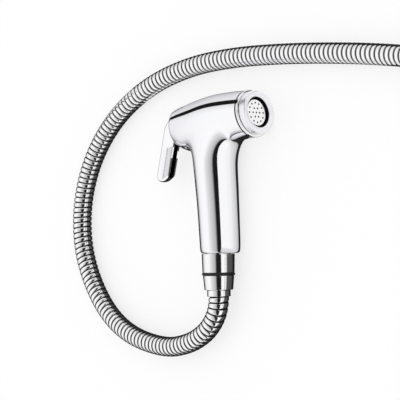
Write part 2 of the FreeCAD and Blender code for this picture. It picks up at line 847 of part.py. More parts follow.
def union_nut(label):
    """Tapered union nut with its pipe thread bore, washer cup and lip."""
    body = turned(label, (
        ("0", "Sizes.nut_bore"),
        ("0", "Sizes.nut_radius"),
        ("Sizes.nut_length", "Sizes.nut_end_radius"),
        ("Sizes.nut_length", "Sizes.neck_radius + Sizes.neck_fit"),
        (LIP_IN, "Sizes.neck_radius + Sizes.neck_fit"),
        (LIP_IN, "Sizes.nut_cup_radius"),
        ("Sizes.nut_thread_depth", "Sizes.nut_cup_radius"),
        ("Sizes.nut_thread_depth", "Sizes.nut_bore"),
    ))
    round_rims(
        body,
        ((0, size("nut_radius")), (size("nut_length"), size("nut_end_radius"))),
        "0.45",
    )
    return body


def end_washer(label):
    return flat_ring(
        label, DISC_IN + " - 0.05 - Sizes.washer_thickness", DISC_IN + " - 0.05",
        "Sizes.washer_bore", "Sizes.washer_radius",
    )


def hose_tail(label):
    """Brass hose tail: flanged disc, neck and the stub inside the hose."""
    return turned(label, (
        (DISC_IN, "Sizes.insert_bore"),
        (DISC_IN, "Sizes.nut_cup_radius - 0.2"),
        (LIP_IN + " - 0.1", "Sizes.nut_cup_radius - 0.2"),
        (LIP_IN + " - 0.1", "Sizes.neck_radius"),
        (NECK_END, "Sizes.neck_radius"),
        (NECK_END, "Sizes.tail_radius - 0.1"),
        (NECK_END + " + Sizes.tail_length - 0.3", "Sizes.tail_radius - 0.1"),
        (NECK_END + " + Sizes.tail_length - 0.3", "Sizes.insert_bore"),
    ))


def crimp_ferrule(label):
    """Sleeve crimped over the hose's end."""
    body = flat_ring(
        label, "Sizes.nut_length + 0.15", "Sizes.nut_length + 0.15 + Sizes.ferrule_length",
        "Sizes.ferrule_radius - Sizes.ferrule_wall", "Sizes.ferrule_radius",
    )
    round_rims(
        body,
        ((size("nut_length") + 0.15, size("ferrule_radius")),
         (ferrule_mouth(), size("ferrule_radius"))),
        "0.35",
    )
    return body


def lowest_of_circle(centre, axis, radius, up):
    """Lowest point of a circle against the given up direction."""
    down = axis * up.dot(axis) - up
    down.normalize()
    return centre + down * radius


def resting_rotation():
    """Turn that lays the handset on its flange, its heel and the handle's fullest part."""
    lay = Rotation(Vector(1, 0, 0), -90)
    flange_centre = lay.multVec(on_barrel(flange_back() + size("flange_thickness") / 2))
    flange_axis = lay.multVec(on_barrel(1) - on_barrel(0))
    heel_centre = lay.multVec(Vector(size("handle_low_centre"), 0, size("heel_round") * 2))
    belly_centre = lay.multVec(Vector(size("handle_high_centre"), 0, size("handle_high_height")))
    handle_axis = Vector(0, 1, 0)
    up = Vector(0, 0, 1)
    for _ in range(12):
        flange_low = lowest_of_circle(flange_centre, flange_axis, size("flange_radius"), up)
        heel_low = lowest_of_circle(heel_centre, handle_axis, size("handle_low_radius"), up)
        belly_low = lowest_of_circle(belly_centre, handle_axis, size("handle_high_radius"), up)
        up = (flange_low - heel_low).cross(belly_low - heel_low)
        up.normalize()
        if up.z < 0:
            up = up * -1
    return Rotation(up, Vector(0, 0, 1)).multiply(lay)


def nut_lift():
    """Lift of the hose's far end when the wall nut lies on its wide rim."""
    lever_arm = hose_start() / (2 * LAST_RUN)
    return (size("nut_radius") - size("hose_radius")) / (1 + lever_arm)


def route_points(mouth_place):
    """Corners of the hose's route, from the ferrule's mouth to the wall end."""
    mouth = mouth_place.multVec(Vector(hose_start(), 0, 0))
    floor = size("hose_radius")
    points = [mouth, mouth_place.multVec(Vector(hose_start() + FIRST_RUN, 0, 0))]
    for across, along, lift in HOSE_ROUTE:
        points.append(Vector(mouth.x + across, mouth.y + along, floor + lift))
    turn = math.radians(LAST_HEADING)
    reach = Vector(math.cos(turn), -math.sin(turn), 0) * LAST_RUN
    points[-1].z += nut_lift() / 2
    points.append(points[-1] + reach + Vector(0, 0, nut_lift() / 2))
    return points


def rounded_wire(points):
    """Straight runs joined by tangent arcs; also returns the arcs' radii."""
    edges = []
    radii = []
    here = points[0]
    for index in range(1, len(points) - 1):
        corner = points[index]
        before = points[index - 1] - corner
        after = points[index + 1] - corner
        short = min(before.Length, after.Length)
        back = Vector(before).normalize()
        ahead = Vector(after).normalize()
        trim = 0.45 * short
        first = corner + back * trim
        second = corner + ahead * trim
        half_turn = (math.pi - back.getAngle(ahead)) / 2
        radius = trim / math.tan(half_turn)
        bisector = (back + ahead).normalize()
        middle = corner + bisector * (math.hypot(radius, trim) - radius)
        edges.append(Part.LineSegment(here, first).toShape())
        edges.append(Part.Arc(first, middle, second).toShape())
        radii.append(radius)
        here = second
    edges.append(Part.LineSegment(here, points[-1]).toShape())
    return Part.Wire(edges), radii


def hose(points):
    """Plain round hose along its route, bored at both ends for the tails."""
    wire, radii = rounded_wire(points)
    start = points[0]
    heading = (points[1] - points[0]).normalize()
    section = Part.Wire([Part.Circle(start, heading, size("hose_radius")).toShape()])
    tube = wire.makePipeShell([section], True, False)
    bore = size("tail_radius")
    depth = size("tail_length")
    end_heading = (points[-2] - points[-1]).normalize()
    for place, way in ((start, heading), (points[-1], end_heading)):
        tube = tube.cut(Part.makeCylinder(bore, depth, place, way))
    item = doc.addObject("Part::Feature", "hose")
    item.Shape = tube
    print("hose length %.1f mm, straight runs and arcs" % wire.Length)
    section_area = math.pi * size("hose_radius") ** 2
    bored = 2 * math.pi * bore ** 2 * depth
    print("volume against section times length %.4f"
          % ((tube.Volume + bored) / (section_area * wire.Length)))
    print("arc radii", " ".join("%.0f" % radius for radius in radii))
    return item


def build():
    """Make every piece and put it in place; returns the sub-parts by name."""
    handset = {}
    handset["body_shell"] = (body_shell(), Placement())
    handset["valve_body"] = (valve_body(), Placement())
    for maker in (stem_gland, valve_stem, spring_cap, nozzle_flange, face_ring, spray_plate):
        piece = maker()
        handset[piece.Name] = (piece, BARREL)
    spring = valve_spring()
    handset["valve_spring"] = (spring, BARREL.multiply(spring.Placement))
    handset["poppet_seal"] = (flat_ring(
        "poppet_seal", "Sizes.seat_front + 0.02",
        "Sizes.seat_front + Sizes.seal_thickness - 0.02",
        "Sizes.seal_hub", "Sizes.poppet_radius - 0.1"), BARREL)
    handset["plate_gasket"] = (flat_ring(
        "plate_gasket", BOSS_FRONT + " + 0.02", PLATE_BACK + " - 0.02",
        "Sizes.valve_bore + 0.2", "Sizes.plate_radius"), BARREL)
    stem_ring = rubber_ring("stem_o_ring", "Sizes.stem_radius + 0.1 + 0.85", "0.85")
    gland_ring = rubber_ring("gland_o_ring", "Sizes.gland_bore - 0.58", "0.5")
    tube_ring = rubber_ring("tube_o_ring", "Sizes.tube_radius + 0.9", "0.85")
    back = size("chamber_back")
    handset["stem_o_ring"] = (stem_ring, BARREL.multiply(ring_place(back - 1.7)))
    handset["gland_o_ring"] = (gland_ring, BARREL.multiply(ring_place(back - 3)))
    handset["lever"] = (lever(), Placement())
    pin = lever_pin()
    handset["lever_pin"] = (pin, pin.Placement)
    axis_shift = Placement(Vector(size("tube_centre"), 0, 0), Rotation())
    inlet = axis_shift.multiply(INLET)
    upward = axis_shift.multiply(Placement(Vector(), Rotation(Vector(0, 1, 0), -90)))
    cup = size("seal_cup_depth") / 2
    handset["tube_o_ring"] = (
        tube_ring, inlet.multiply(ring_place(-size("screw_length") + cup)))
    handset["supply_tube"] = (supply_tube(), upward)
    handset["inlet_connector"] = (inlet_connector(), inlet)
    handset["collar_band"] = (flat_ring(
        "collar_band", COLLAR_END + " + 0.05", BAND_END,
        "Sizes.spigot_radius + 0.15", "Sizes.band_radius"), inlet)
    hose_end = inlet.multiply(Placement(Vector(band_end() + 0.05, 0, 0), Rotation()))
    handset["hose_nut"] = (union_nut("hose_nut"), hose_end)
    handset["inlet_washer"] = (end_washer("inlet_washer"), hose_end)
    handset["hose_tail"] = (hose_tail("hose_tail"), hose_end)
    handset["hose_ferrule"] = (crimp_ferrule("hose_ferrule"), hose_end)
    return handset, hose_end


def lay_down(handset):
    """Place that rests the handset on the floor, its box centred on the origin."""
    turn = Placement(Vector(), resting_rotation())
    on_cord = ("hose_nut", "inlet_washer", "hose_tail", "hose_ferrule")
    box = FreeCAD.BoundBox()
    for name, (piece, place) in handset.items():
        if name in on_cord:
            continue
        shape = piece.Shape.copy()
        shape.Placement = turn.multiply(place)
        box.add(shape.optimalBoundingBox(False, False))
    centre = box.Center
    return Placement(Vector(-centre.x, -centre.y, -box.ZMin), Rotation()).multiply(turn)


def main():
    handset, hose_end = build()
    doc.recompute()
    rest = lay_down(handset)
    parts = {}
    for name, (piece, place) in handset.items():
        piece.Placement = rest.multiply(place)
        parts[name] = piece
    mouth_place = rest.multiply(hose_end)
    points = route_points(mouth_place)
    parts["hose"] = hose(points)
    heading = (points[-2] - points[-1]).normalize()
    wall_turn = Rotation(Vector(1, 0, 0), heading)
    wall_place = Placement(points[-1], wall_turn).multiply(
        Placement(Vector(-hose_start(), 0, 0), Rotation())
    )
    for name, maker in (
        ("wall_nut", union_nut),
        ("wall_washer", end_washer),
        ("wall_tail", hose_tail),
        ("wall_ferrule", crimp_ferrule),
    ):
        piece = maker(name)
        piece.Placement = wall_place
        parts[name] = piece
    doc.recompute()
    for item in doc.Objects:
        if "Invalid" in item.State or "Error" in item.State:
            raise ValueError("failed: " + item.Name)
    os.makedirs("parts", exist_ok=True)
    for name, piece in parts.items():
        piece.Label = name
        shape = piece.Shape
        if shape.isNull() or not shape.isValid():
            raise ValueError("bad shape: " + name)
        shape.exportStep("parts/%s.step" % name)
    report_places(rest, points, wall_place)


def report_places(rest, points, wall_place):
    """Print the places that a reader of the part needs."""
    def say(name, vector):
        print("%s %.3f %.3f %.3f" % (name, vector.x, vector.y, vector.z))

    say("pivot", rest.multVec(PIVOT))
    say("pivot axis", rest.Rotation.multVec(Vector(0, 1, 0)))
    say("barrel axis", rest.Rotation.multVec(on_barrel(1) - on_barrel(0)))
    say("stem end", rest.multVec(on_barrel(size("stem_back"))))
    arm = BARREL.inverse().multVec(PIVOT).z
    stroke = arm * math.radians(size("lever_travel"))
    print("lever arm %.3f, stroke of the stem %.3f" % (arm, stroke))
    say("heel", rest.multVec(Vector(size("tube_centre"), 0, 0)))
    say("handle axis", rest.Rotation.multVec(Vector(0, 0, 1)))
    say("face centre", rest.multVec(on_barrel(ring_front())))
    say("wall nut", wall_place.Base)
    say("wall nut axis", wall_place.Rotation.multVec(Vector(-1, 0, 0)))
    for point in points:
        say("route", point)
    lean = rest.Rotation.multVec(Vector(1, 0, 0))
    print("roll %.2f" % math.degrees(math.asin(lean.z)))


main()
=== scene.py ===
import bmesh
import bpy
import json
import math
from mathutils import Matrix, Vector


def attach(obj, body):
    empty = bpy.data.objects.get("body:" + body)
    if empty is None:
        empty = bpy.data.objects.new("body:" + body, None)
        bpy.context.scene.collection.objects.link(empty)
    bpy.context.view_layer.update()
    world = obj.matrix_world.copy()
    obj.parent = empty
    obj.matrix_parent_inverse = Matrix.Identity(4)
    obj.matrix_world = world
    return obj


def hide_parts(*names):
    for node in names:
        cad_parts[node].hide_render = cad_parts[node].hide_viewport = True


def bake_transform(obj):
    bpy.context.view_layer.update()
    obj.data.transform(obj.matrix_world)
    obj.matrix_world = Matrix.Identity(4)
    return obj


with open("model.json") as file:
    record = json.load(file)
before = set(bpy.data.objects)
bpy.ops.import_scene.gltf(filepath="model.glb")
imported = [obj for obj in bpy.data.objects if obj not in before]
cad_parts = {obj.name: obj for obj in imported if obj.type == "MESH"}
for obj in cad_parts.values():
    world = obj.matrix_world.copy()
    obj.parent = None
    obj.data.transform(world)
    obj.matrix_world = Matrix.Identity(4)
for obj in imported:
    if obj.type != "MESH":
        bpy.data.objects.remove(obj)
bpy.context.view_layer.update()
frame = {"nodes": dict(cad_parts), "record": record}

scene = bpy.context.scene
scene.view_settings.view_transform = "Standard"

# Camera: above the spray side of the handset, level with its hose nut.
CAMERA_LEAN = math.radians(44.3)
CAMERA_REACH = 1.25
AIM = Vector((-0.0110, -0.00814, 0.0150))
CAMERA_DROP = 0.060
VIEW_WIDTH = 0.296
SENSOR_WIDTH = 36

# Places of the handset and of the wall end in the row frame, millimetres.
HEEL = Vector((7.41, -47.782, 14.825))
HANDLE_AXIS = Vector((0, 0.99964, 0.02673))
PIVOT_AXIS = Vector((0, 0.02673, -0.99964))
WALL_NUT = Vector((196.364, -144.049, 11.45))
WALL_AXIS = Vector((0.8741, 0.4840, -0.0413)).normalized()
TUBE_CENTRE = -1.2

# Handset forms, millimetres and degrees: X to the spray side, Z up the handle.
BARREL_HEIGHT = 95.0
BARREL_TILT = 7.8
BARREL_FRONT = 34.6
BARREL_SECTIONS = (
    (34.6, 17.1, 17.1, 17.1), (25, 19.0, 16.5, 16.8), (10, 20.7, 16.6, 16.6),
    (-8, 21.1, 17.2, 15.6), (-24, 20.3, 17.4, 13.4), (-35, 19.1, 12.9, 10.8),
    (-41.5, 17.9, 8.4, 9.2),
)
HANDLE_CENTRES = ((0, 1.0), (6.4, 1.0), (40, -0.5), (70, -2.5), (93, -2.5))
HANDLE_RADII = ((0, 14.6), (6.4, 14.9), (40, 15.5), (70, 16.6), (93, 16.6))
PIVOT = Vector((-38.9, 0, 97.0))
PIN_HOLE = 1.56
STEM_BACK = -44.0
LEVER_SLANT = math.tan(math.radians(14.4))
LEVER_DEPTH = 12.9 / math.cos(math.radians(14.4))
LEVER_TIP = (-62.5, 54.3)
LEVER_WIDTH = 7.4
LEVER_WALL = 1.4
LEVER_ROUND = 2.6
NUB_REACH = 0.3

# Inlet and hose ends, from the heel downwards.
COLLAR_END = 0.3 + 13.9
BAND_GAP = 0.05
BAND_END = COLLAR_END + BAND_GAP + 1.8
SPIGOT_RADIUS = 9.2
LOWER_SPIGOT_RADIUS = 9.9
WATERWAY_RADIUS = 5
NUT_LENGTH = 10.6
NUT_THREAD_END = 5.6
THREAD_PITCH = 1.4
THREAD_TURNS = 4
THREAD_ROOT = 10.25
THREAD_CREST = 9.95
NUT_BORE = 9.3
FERRULE_BORE = 7.65
FERRULE_RADIUS = 8.6
FERRULE_LENGTH = 4.6
HOSE_RADIUS = 7.5

# Nozzle: places along the barrel, and radii, of its flange, ring and plate.
FLANGE_BACK = BARREL_FRONT + 0.3
FLANGE_FRONT = FLANGE_BACK + 2
FLANGE_RADIUS = 17.4
SKIRT_LENGTH = 10
SKIRT_BORE = 11.55
SKIRT_RADIUS = 14.2
BOSS_LENGTH = 1.2
BOSS_RADIUS = 13.2
RING_BACK = FLANGE_FRONT + 0.35
RING_FRONT = RING_BACK + 5.6
RING_BORE = 13.35
RING_RADIUS = 15.9
RIM_RADIUS = 14.3
DISH_DEPTH = 1.0
DISH_RADIUS = 11.6
LIP_BACK = RING_FRONT - 3.2
MOUTH_RADIUS = 10.9
PLATE_THICKNESS = 1.2
PLATE_RADIUS = 13.1
# Rows of jets: radius of the row and number of jets in it.
JET_ROWS = ((0, 1), (3.5, 6), (7.2, 12))
JET_RADIUS = 0.74
# How far the painted shade of a seam reaches in from the edge of the piece behind it: a dark
# line standing in for the shade in the gap.
SEAM_SHADE_REACH = 0.6

# Cuts in the shell: slot for the lever, and bores as start, end and radius.
SHELL_SLOT = ((-60, -4.1, BARREL_HEIGHT - 29), (-34.2, 4.1, BARREL_HEIGHT + 7.5))
BARREL_BORES = ((22, BARREL_FRONT + 1, 14.35), (-12, 22.5, 13.05), (-27.2, -11.5, 9.45),
                (-39, -26.5, 4.62))
HANDLE_BORES = ((13, 83.75, 11.6), (-1, 14, 9.28))
CHEEK_BORE = (-7.7, 20)
# Folds where the handle meets the barrel: centre, and the reaches over which each is faired.
FOLDS = (
    (Vector((-2.0, 0, BARREL_HEIGHT - 21)), (30, 29, 28, 27, 26, 25, 24, 23, 22)),
    (Vector((-23.0, 0, BARREL_HEIGHT - 21)), (17, 16, 15, 14, 13, 12, 11)),
)
FAIRING_PASSES = 4

# Cards in the chrome: height of the lowest, end at the heel, and end over the barrel.
CARD_LEVEL = 0.4
CARD_HEEL = -48.6
CARD_TOP = 70.5

# Corners of the hose's route, the same as the solid's.
ROUTE = (
    (7.410, -75.672, 14.080), (7.410, -85.168, 13.826), (2.310, -96.572, 13.100),
    (-8.490, -106.972, 12.100), (-26.790, -115.072, 10.700), (-53.490, -118.872, 9.200),
    (-94.490, -110.072, 7.900), (-124.690, -88.872, 7.500), (-147.190, -51.172, 7.500),
    (-151.390, -11.172, 7.500), (-139.290, 27.428, 7.500), (-112.190, 59.928, 7.500),
    (-74.090, 82.128, 7.500), (-30.190, 93.328, 7.500), (14.310, 96.228, 7.500),
    (61.410, 94.528, 7.500), (107.310, 90.928, 7.500), (157.410, 85.228, 7.500),
    (233.410, 72.728, 7.500), (285.410, 44.928, 7.500), (309.610, 13.128, 7.500),
    (316.810, -24.172, 7.500), (307.010, -60.872, 7.500), (281.810, -91.972, 7.500),
    (243.410, -117.972, 9.232), (206.676, -138.334, 10.963),
)
RIDGE_PITCH = 4.0
RIDGE_STEPS = 28
BLOCK_TURNS = 7
# One ridge of the wound strip: share of the pitch and depth under the hose's radius.
RIDGE_PROFILE = (
    (0.0, 0.95), (0.05, 0.88), (0.10, 0.42), (0.16, 0.16), (0.25, 0.05), (0.50, 0.0),
    (0.75, 0.05), (0.84, 0.16), (0.90, 0.42), (0.95, 0.88), (1.0, 0.95),
)
RIDGE_DEPTH = 0.95


def colour(code):
    """Linear colour of an sRGB hex code."""
    values = []
    for start in (0, 2, 4):
        share = int(code[start:start + 2], 16) / 255
        values.append(share / 12.92 if share <= 0.04045 else ((share + 0.055) / 1.055) ** 2.4)
    return (*values, 1)


def node(tree, kind, links=(), **settings):
    """New node with its properties and inputs set and its sockets linked."""
    item = tree.nodes.new("ShaderNode" + kind)
    for name, value in settings.items():
        if name in item.inputs:
            item.inputs[name].default_value = value
        elif name.startswith("input_"):
            item.inputs[int(name[6:])].default_value = value
        else:
            setattr(item, name, value)
    for source, target in links:
        tree.links.new(source, item.inputs[target])
    return item


def finish_of(name, base, rough, metallic, **sockets):
    """Principled material with its uniform values on the shader's own sockets."""
    material = bpy.data.materials.new(name)
    material.use_nodes = True
    shader = material.node_tree.nodes["Principled BSDF"]
    shader.inputs["Base Color"].default_value = colour(base)
    shader.inputs["Roughness"].default_value = rough
    shader.inputs["Metallic"].default_value = metallic
    for key, value in sockets.items():
        shader.inputs[key.replace("_", " ")].default_value = value
    return material


def speckle(material, low, high, scale, bump=0.0):
    """Uneven roughness, and a shallow bump, over the material, in spots a metre."""
    tree = material.node_tree
    shader = tree.nodes["Principled BSDF"]
    place = node(tree, "TexCoord")
    noise = node(tree, "TexNoise", [(place.outputs["Object"], "Vector")],
                 Scale=scale, Detail=2.0)
    spread = node(tree, "MapRange", [(noise.outputs["Fac"], "Value")])
    spread.inputs["To Min"].default_value = low
    spread.inputs["To Max"].default_value = high
    tree.links.new(spread.outputs["Result"], shader.inputs["Roughness"])
    if bump:
        relief = node(tree, "Bump", [(noise.outputs["Fac"], "Height")],
                      Strength=bump, Distance=0.0002)
        tree.links.new(relief.outputs["Normal"], shader.inputs["Normal"])
    return material


def paint_hollow_shade(material, base):
    """Painted shade: the base colour turns near black where the piece's own mesh marks a hollow,
    seam or bore as deep.
    """
    # The attribute holds each point's share of painted shade.
    tree = material.node_tree
    depth = node(tree, "Attribute", attribute_name="painted_shade")
    share = node(tree, "MapRange", [(depth.outputs["Fac"], "Value")], **{
        "From Min": 0.12, "From Max": 0.60})
    mix = node(tree, "MixRGB", [(share.outputs[0], 0)], Color1=colour(base),
               Color2=colour("101012"))
    tree.links.new(mix.outputs[0], tree.nodes["Principled BSDF"].inputs["Base Color"])


# Mirror plate over the moulded shell, the lever and the turned ends: it carries the sharp
# dark lines, and its faint unevenness keeps long reflections from looking ruled.
plated = speckle(finish_of("bright_chrome_plate", "FBFBFE", 0.04, 1.0,
                           Specular_Tint=colour("B8B8BC")), 0.03, 0.07, 18)
# Painted shade where the mesh marks it: the barrel's front seam.
paint_hollow_shade(plated, "FBFBFE")
# Chromed brass nuts and ferrules: a little softer and warmer than the plated plastic.
plated_brass = speckle(finish_of("chromed_brass", "FBFAFB", 0.06, 1.0,
                                 Specular_Tint=colour("303034")), 0.05, 0.10, 30)
# Painted shade where the mesh marks it: the flange's back seam.
paint_hollow_shade(plated_brass, "FBFAFB")
# Pearl nickel on the face ring: a soft sheen without sharp reflections.
satin = speckle(finish_of("pearl_satin_nickel", "F4F3F7", 0.32, 0.85), 0.27, 0.38, 400, 0.05)
# Painted shade where the mesh marks it: the mouth of the recess.
paint_hollow_shade(satin, "F4F3F7")
# Spun steel of the spray plate: bright, with a fine blur.
spun_steel = speckle(finish_of("spun_stainless_plate", "FCFCFD", 0.22, 1.0),
                     0.17, 0.27, 900, 0.03)
# Painted shade where the mesh marks it: the plate's back and its jet holes.
paint_hollow_shade(spun_steel, "FCFCFD")
# Stainless strip of the hose: each turn polished on its crown.
strip = speckle(finish_of("polished_stainless_strip", "FAFAFB", 0.10, 1.0,
                          Specular_Tint=colour("060608")), 0.06, 0.12, 260)
# Painted shade where the mesh marks it: between the ridges.
paint_hollow_shade(strip, "FAFAFB")
# Black rubber of washers and band: deep black with a dull bloom.
rubber = speckle(finish_of("black_nitrile_rubber", "121214", 0.55, 0.0), 0.48, 0.66, 700, 0.15)
# Inner plastics and metals, seen through the slot and the spout.
acetal = speckle(finish_of("white_acetal", "E4E2DA", 0.42, 0.0), 0.36, 0.50, 300, 0.05)
brass = speckle(finish_of("machined_brass", "C9A65A", 0.28, 1.0), 0.22, 0.36, 500, 0.05)
spring_steel = speckle(finish_of("spring_wire", "B9BBC0", 0.30, 1.0), 0.24, 0.36, 600)
SLOT_FINISHES = {
    "chrome_shell": plated, "chrome_brass": plated_brass, "satin_ring": satin,
    "spray_steel": spun_steel, "hose_steel": strip, "rubber": rubber, "acetal": acetal,
    "brass": brass, "spring_steel": spring_steel,
}


def framed(x_axis, y_axis, z_axis, origin):
    """Matrix of a frame given by its axes and origin."""
    matrix = Matrix((x_axis, y_axis, z_axis)).transposed().to_4x4()
    matrix.translation = origin
    return matrix


SPRAY_AXIS = PIVOT_AXIS.cross(HANDLE_AXIS)
HANDSET = framed(SPRAY_AXIS, PIVOT_AXIS, HANDLE_AXIS, HEEL - SPRAY_AXIS * TUBE_CENTRE)
BARREL = (HANDSET @ Matrix.Translation((0, 0, BARREL_HEIGHT))
          @ Matrix.Rotation(math.radians(-BARREL_TILT), 4, "Y"))
INLET = (HANDSET @ Matrix.Translation((TUBE_CENTRE, 0, 0))
         @ Matrix.Rotation(math.radians(90), 4, "Y"))
HOSE_END = INLET @ Matrix.Translation((BAND_END + 0.05, 0, 0))
WALL_SIDE = WALL_AXIS.cross(Vector((0, 0, 1))).normalized()
WALL_END = framed(WALL_AXIS, WALL_SIDE, WALL_AXIS.cross(WALL_SIDE), WALL_NUT)
METRES = Matrix.Scale(0.001, 4)


def piece(name, bm, place, finish, body="root", stands_for=(), soft_edge=35.0,
          weighted=True):
    """Object in the row frame from a mesh drawn in millimetres in its own frame."""
    bmesh.ops.remove_doubles(bm, verts=bm.verts, dist=0.0005)
    bmesh.ops.recalc_face_normals(bm, faces=bm.faces)
    bm.transform(METRES @ place)
    mesh = bpy.data.meshes.new(name)
    bm.to_mesh(mesh)
    bm.free()
    return shown(name, mesh, finish, body, stands_for, soft_edge, weighted)


def shown(name, mesh, finish, body, stands_for, soft_edge, weighted):
    """Object from a finished mesh, smooth up to the soft edge, on its body in its finish."""
    for face in mesh.polygons:
        face.use_smooth = True
    mesh.set_sharp_from_angle(angle=math.radians(soft_edge))
    item = bpy.data.objects.new(name, mesh)
    scene.collection.objects.link(item)
    item.data.materials.clear()
    item.data.materials.append(SLOT_FINISHES[finish])
    if weighted:
        even = item.modifiers.new("even_shading", "WEIGHTED_NORMAL")
        even.keep_sharp = True
    if body:
        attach(item, body)
    if stands_for:
        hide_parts(*stands_for)
    return item


def rounded(corners, rounds, steps=5):
    """Closed outline with the given corners turned into arcs."""
    points = []
    count = len(corners)
    for index, corner in enumerate(corners):
        here = Vector(corner)
        radius = rounds.get(index, 0)
        if not radius:
            points.append(here)
            continue
        back = (Vector(corners[index - 1]) - here).normalized()
        ahead = (Vector(corners[(index + 1) % count]) - here).normalized()
        half = back.angle(ahead) / 2
        bisector = (back + ahead).normalized()
        centre = here + bisector * (radius / math.sin(half))
        reach = radius / math.tan(half)
        start = here + back * reach - centre
        sweep = here + ahead * reach - centre
        turn = start.angle_signed(sweep)
        for step in range(steps + 1):
            spin = Matrix.Rotation(-turn * step / steps, 2)
            points.append(centre + spin @ start)
    return points


def mark_painted_shade(bm, shade_of):
    """Mark each point's share of painted shade: deep points and seam edges that the material
    paints dark.
    """
    layer = bm.verts.layers.float.new("painted_shade")
    for vert in bm.verts:
        vert[layer] = shade_of(vert.co.x, math.hypot(vert.co.y, vert.co.z))


def mark_mesh_shade(mesh, place, shade_of):
    """Mark the painted shade on the points of a finished mesh, measured in the given frame."""
    bm = bmesh.new()
    bm.from_mesh(mesh)
    bm.transform((METRES @ place).inverted())
    mark_painted_shade(bm, shade_of)
    bm.transform(METRES @ place)
    bm.to_mesh(mesh)
    bm.free()


def turned(name, corners, place, finish, rounds=None, steps=160, shade_of=None, **how):
    """Closed outline of places along X and radii, turned about X."""
    bm = bmesh.new()
    outline = rounded(corners, rounds or {})
    verts = [bm.verts.new((along, 0, radius)) for along, radius in outline]
    edges = [bm.edges.new((verts[i], verts[(i + 1) % len(verts)])) for i in range(len(verts))]
    bmesh.ops.spin(bm, geom=verts + edges, cent=(0, 0, 0), axis=(1, 0, 0), dvec=(0, 0, 0),
                   angle=2 * math.pi, steps=steps, use_merge=True, use_duplicate=False)
    if shade_of:
        mark_painted_shade(bm, shade_of)
    return piece(name, bm, place, finish, **how)


def tube_tool(start, end, radius, place, segments=96):
    """Cutting cylinder along X of the given frame."""
    bm = bmesh.new()
    turn = Matrix.Translation(((start + end) / 2, 0, 0)) @ Matrix.Rotation(math.pi / 2, 4, "Y")
    bmesh.ops.create_cone(bm, cap_ends=True, segments=segments, radius1=radius,
                          radius2=radius, depth=end - start, matrix=turn)
    bm.transform(METRES @ place)
    return bm


def box_tool(low, high, place):
    """Cutting box between two corners of the given frame."""
    bm = bmesh.new()
    bmesh.ops.create_cube(bm, size=1)
    size = Vector(high) - Vector(low)
    bm.transform(METRES @ place @ Matrix.Translation((Vector(low) + Vector(high)) / 2)
                 @ Matrix.Diagonal((*size, 1)))
    return bm


def side_tool(outline, half_width):
    """Block with the given side outline in the handset's X and Z."""
    bm = bmesh.new()
    face = bm.faces.new([bm.verts.new((x, -half_width, z)) for x, z in outline])
    result = bmesh.ops.extrude_face_region(bm, geom=[face])
    moved = [item for item in result["geom"] if isinstance(item, bmesh.types.BMVert)]
    bmesh.ops.translate(bm, verts=moved, vec=(0, 2 * half_width, 0))
    bmesh.ops.recalc_face_normals(bm, faces=bm.faces)
    return bm


def carved(mesh, tools, operation="DIFFERENCE"):
    """Mesh with each tool cut from it, or joined to it."""
    work = bpy.data.objects.new("work", mesh)
    scene.collection.objects.link(work)
    for bm in tools:
        tool_mesh = bpy.data.meshes.new("tool")
        bmesh.ops.recalc_face_normals(bm, faces=bm.faces)
        bm.to_mesh(tool_mesh)
        bm.free()
        tool = bpy.data.objects.new("tool", tool_mesh)
        scene.collection.objects.link(tool)
        cut = work.modifiers.new("cut", "BOOLEAN")
        cut.operation = operation
        cut.solver = "EXACT"
        cut.object = tool
        graph = bpy.context.evaluated_depsgraph_get()
        done = bpy.data.meshes.new_from_object(work.evaluated_get(graph))
        work.modifiers.clear()
        work.data = done
        bpy.data.objects.remove(tool)
    result = work.data
    bpy.data.objects.remove(work)
    return result


def between(table, place):
    """Row of the table at that place, on a smooth curve through its rows."""
    rows = sorted(table)
    place = min(max(place, rows[0][0]), rows[-1][0])
    index = 0
    while index < len(rows) - 2 and rows[index + 1][0] < place:
        index += 1
    low, high = rows[index], rows[index + 1]
    before = rows[max(index - 1, 0)]
    after = rows[min(index + 2, len(rows) - 1)]
    span = high[0] - low[0]
    share = (place - low[0]) / span
    values = []
    for column in range(1, len(low)):
        rise = high[column] - low[column]
        first = (high[column] - before[column]) / (high[0] - before[0]) * span
        last = (after[column] - low[column]) / (after[0] - low[0]) * span
        values.append(
            low[column] + share * first + share ** 2 * (3 * rise - 2 * first - last)
            + share ** 3 * (first + last - 2 * rise))
    return values


RING_POINTS = 16
# A ring of 16 control points shrinks by this share when it is subdivided.
RING_SHRINK = (4 + 2 * math.cos(2 * math.pi / RING_POINTS)) / 6


def barrel_point(along, turn, inset=0.0):
    """Control point of the barrel at that place and angle from its top."""
    top, bottom, side = between(BARREL_SECTIONS, along)
    middle = (top - bottom) / 2
    rise = middle + ((top + bottom) / 2 - inset) * math.cos(turn) / RING_SHRINK
    across = (side - inset) * math.sin(turn) / RING_SHRINK
    lean = math.radians(BARREL_TILT)
    return Vector((
        along * math.cos(lean) - rise * math.sin(lean), across,
        BARREL_HEIGHT + along * math.sin(lean) + rise * math.cos(lean)))


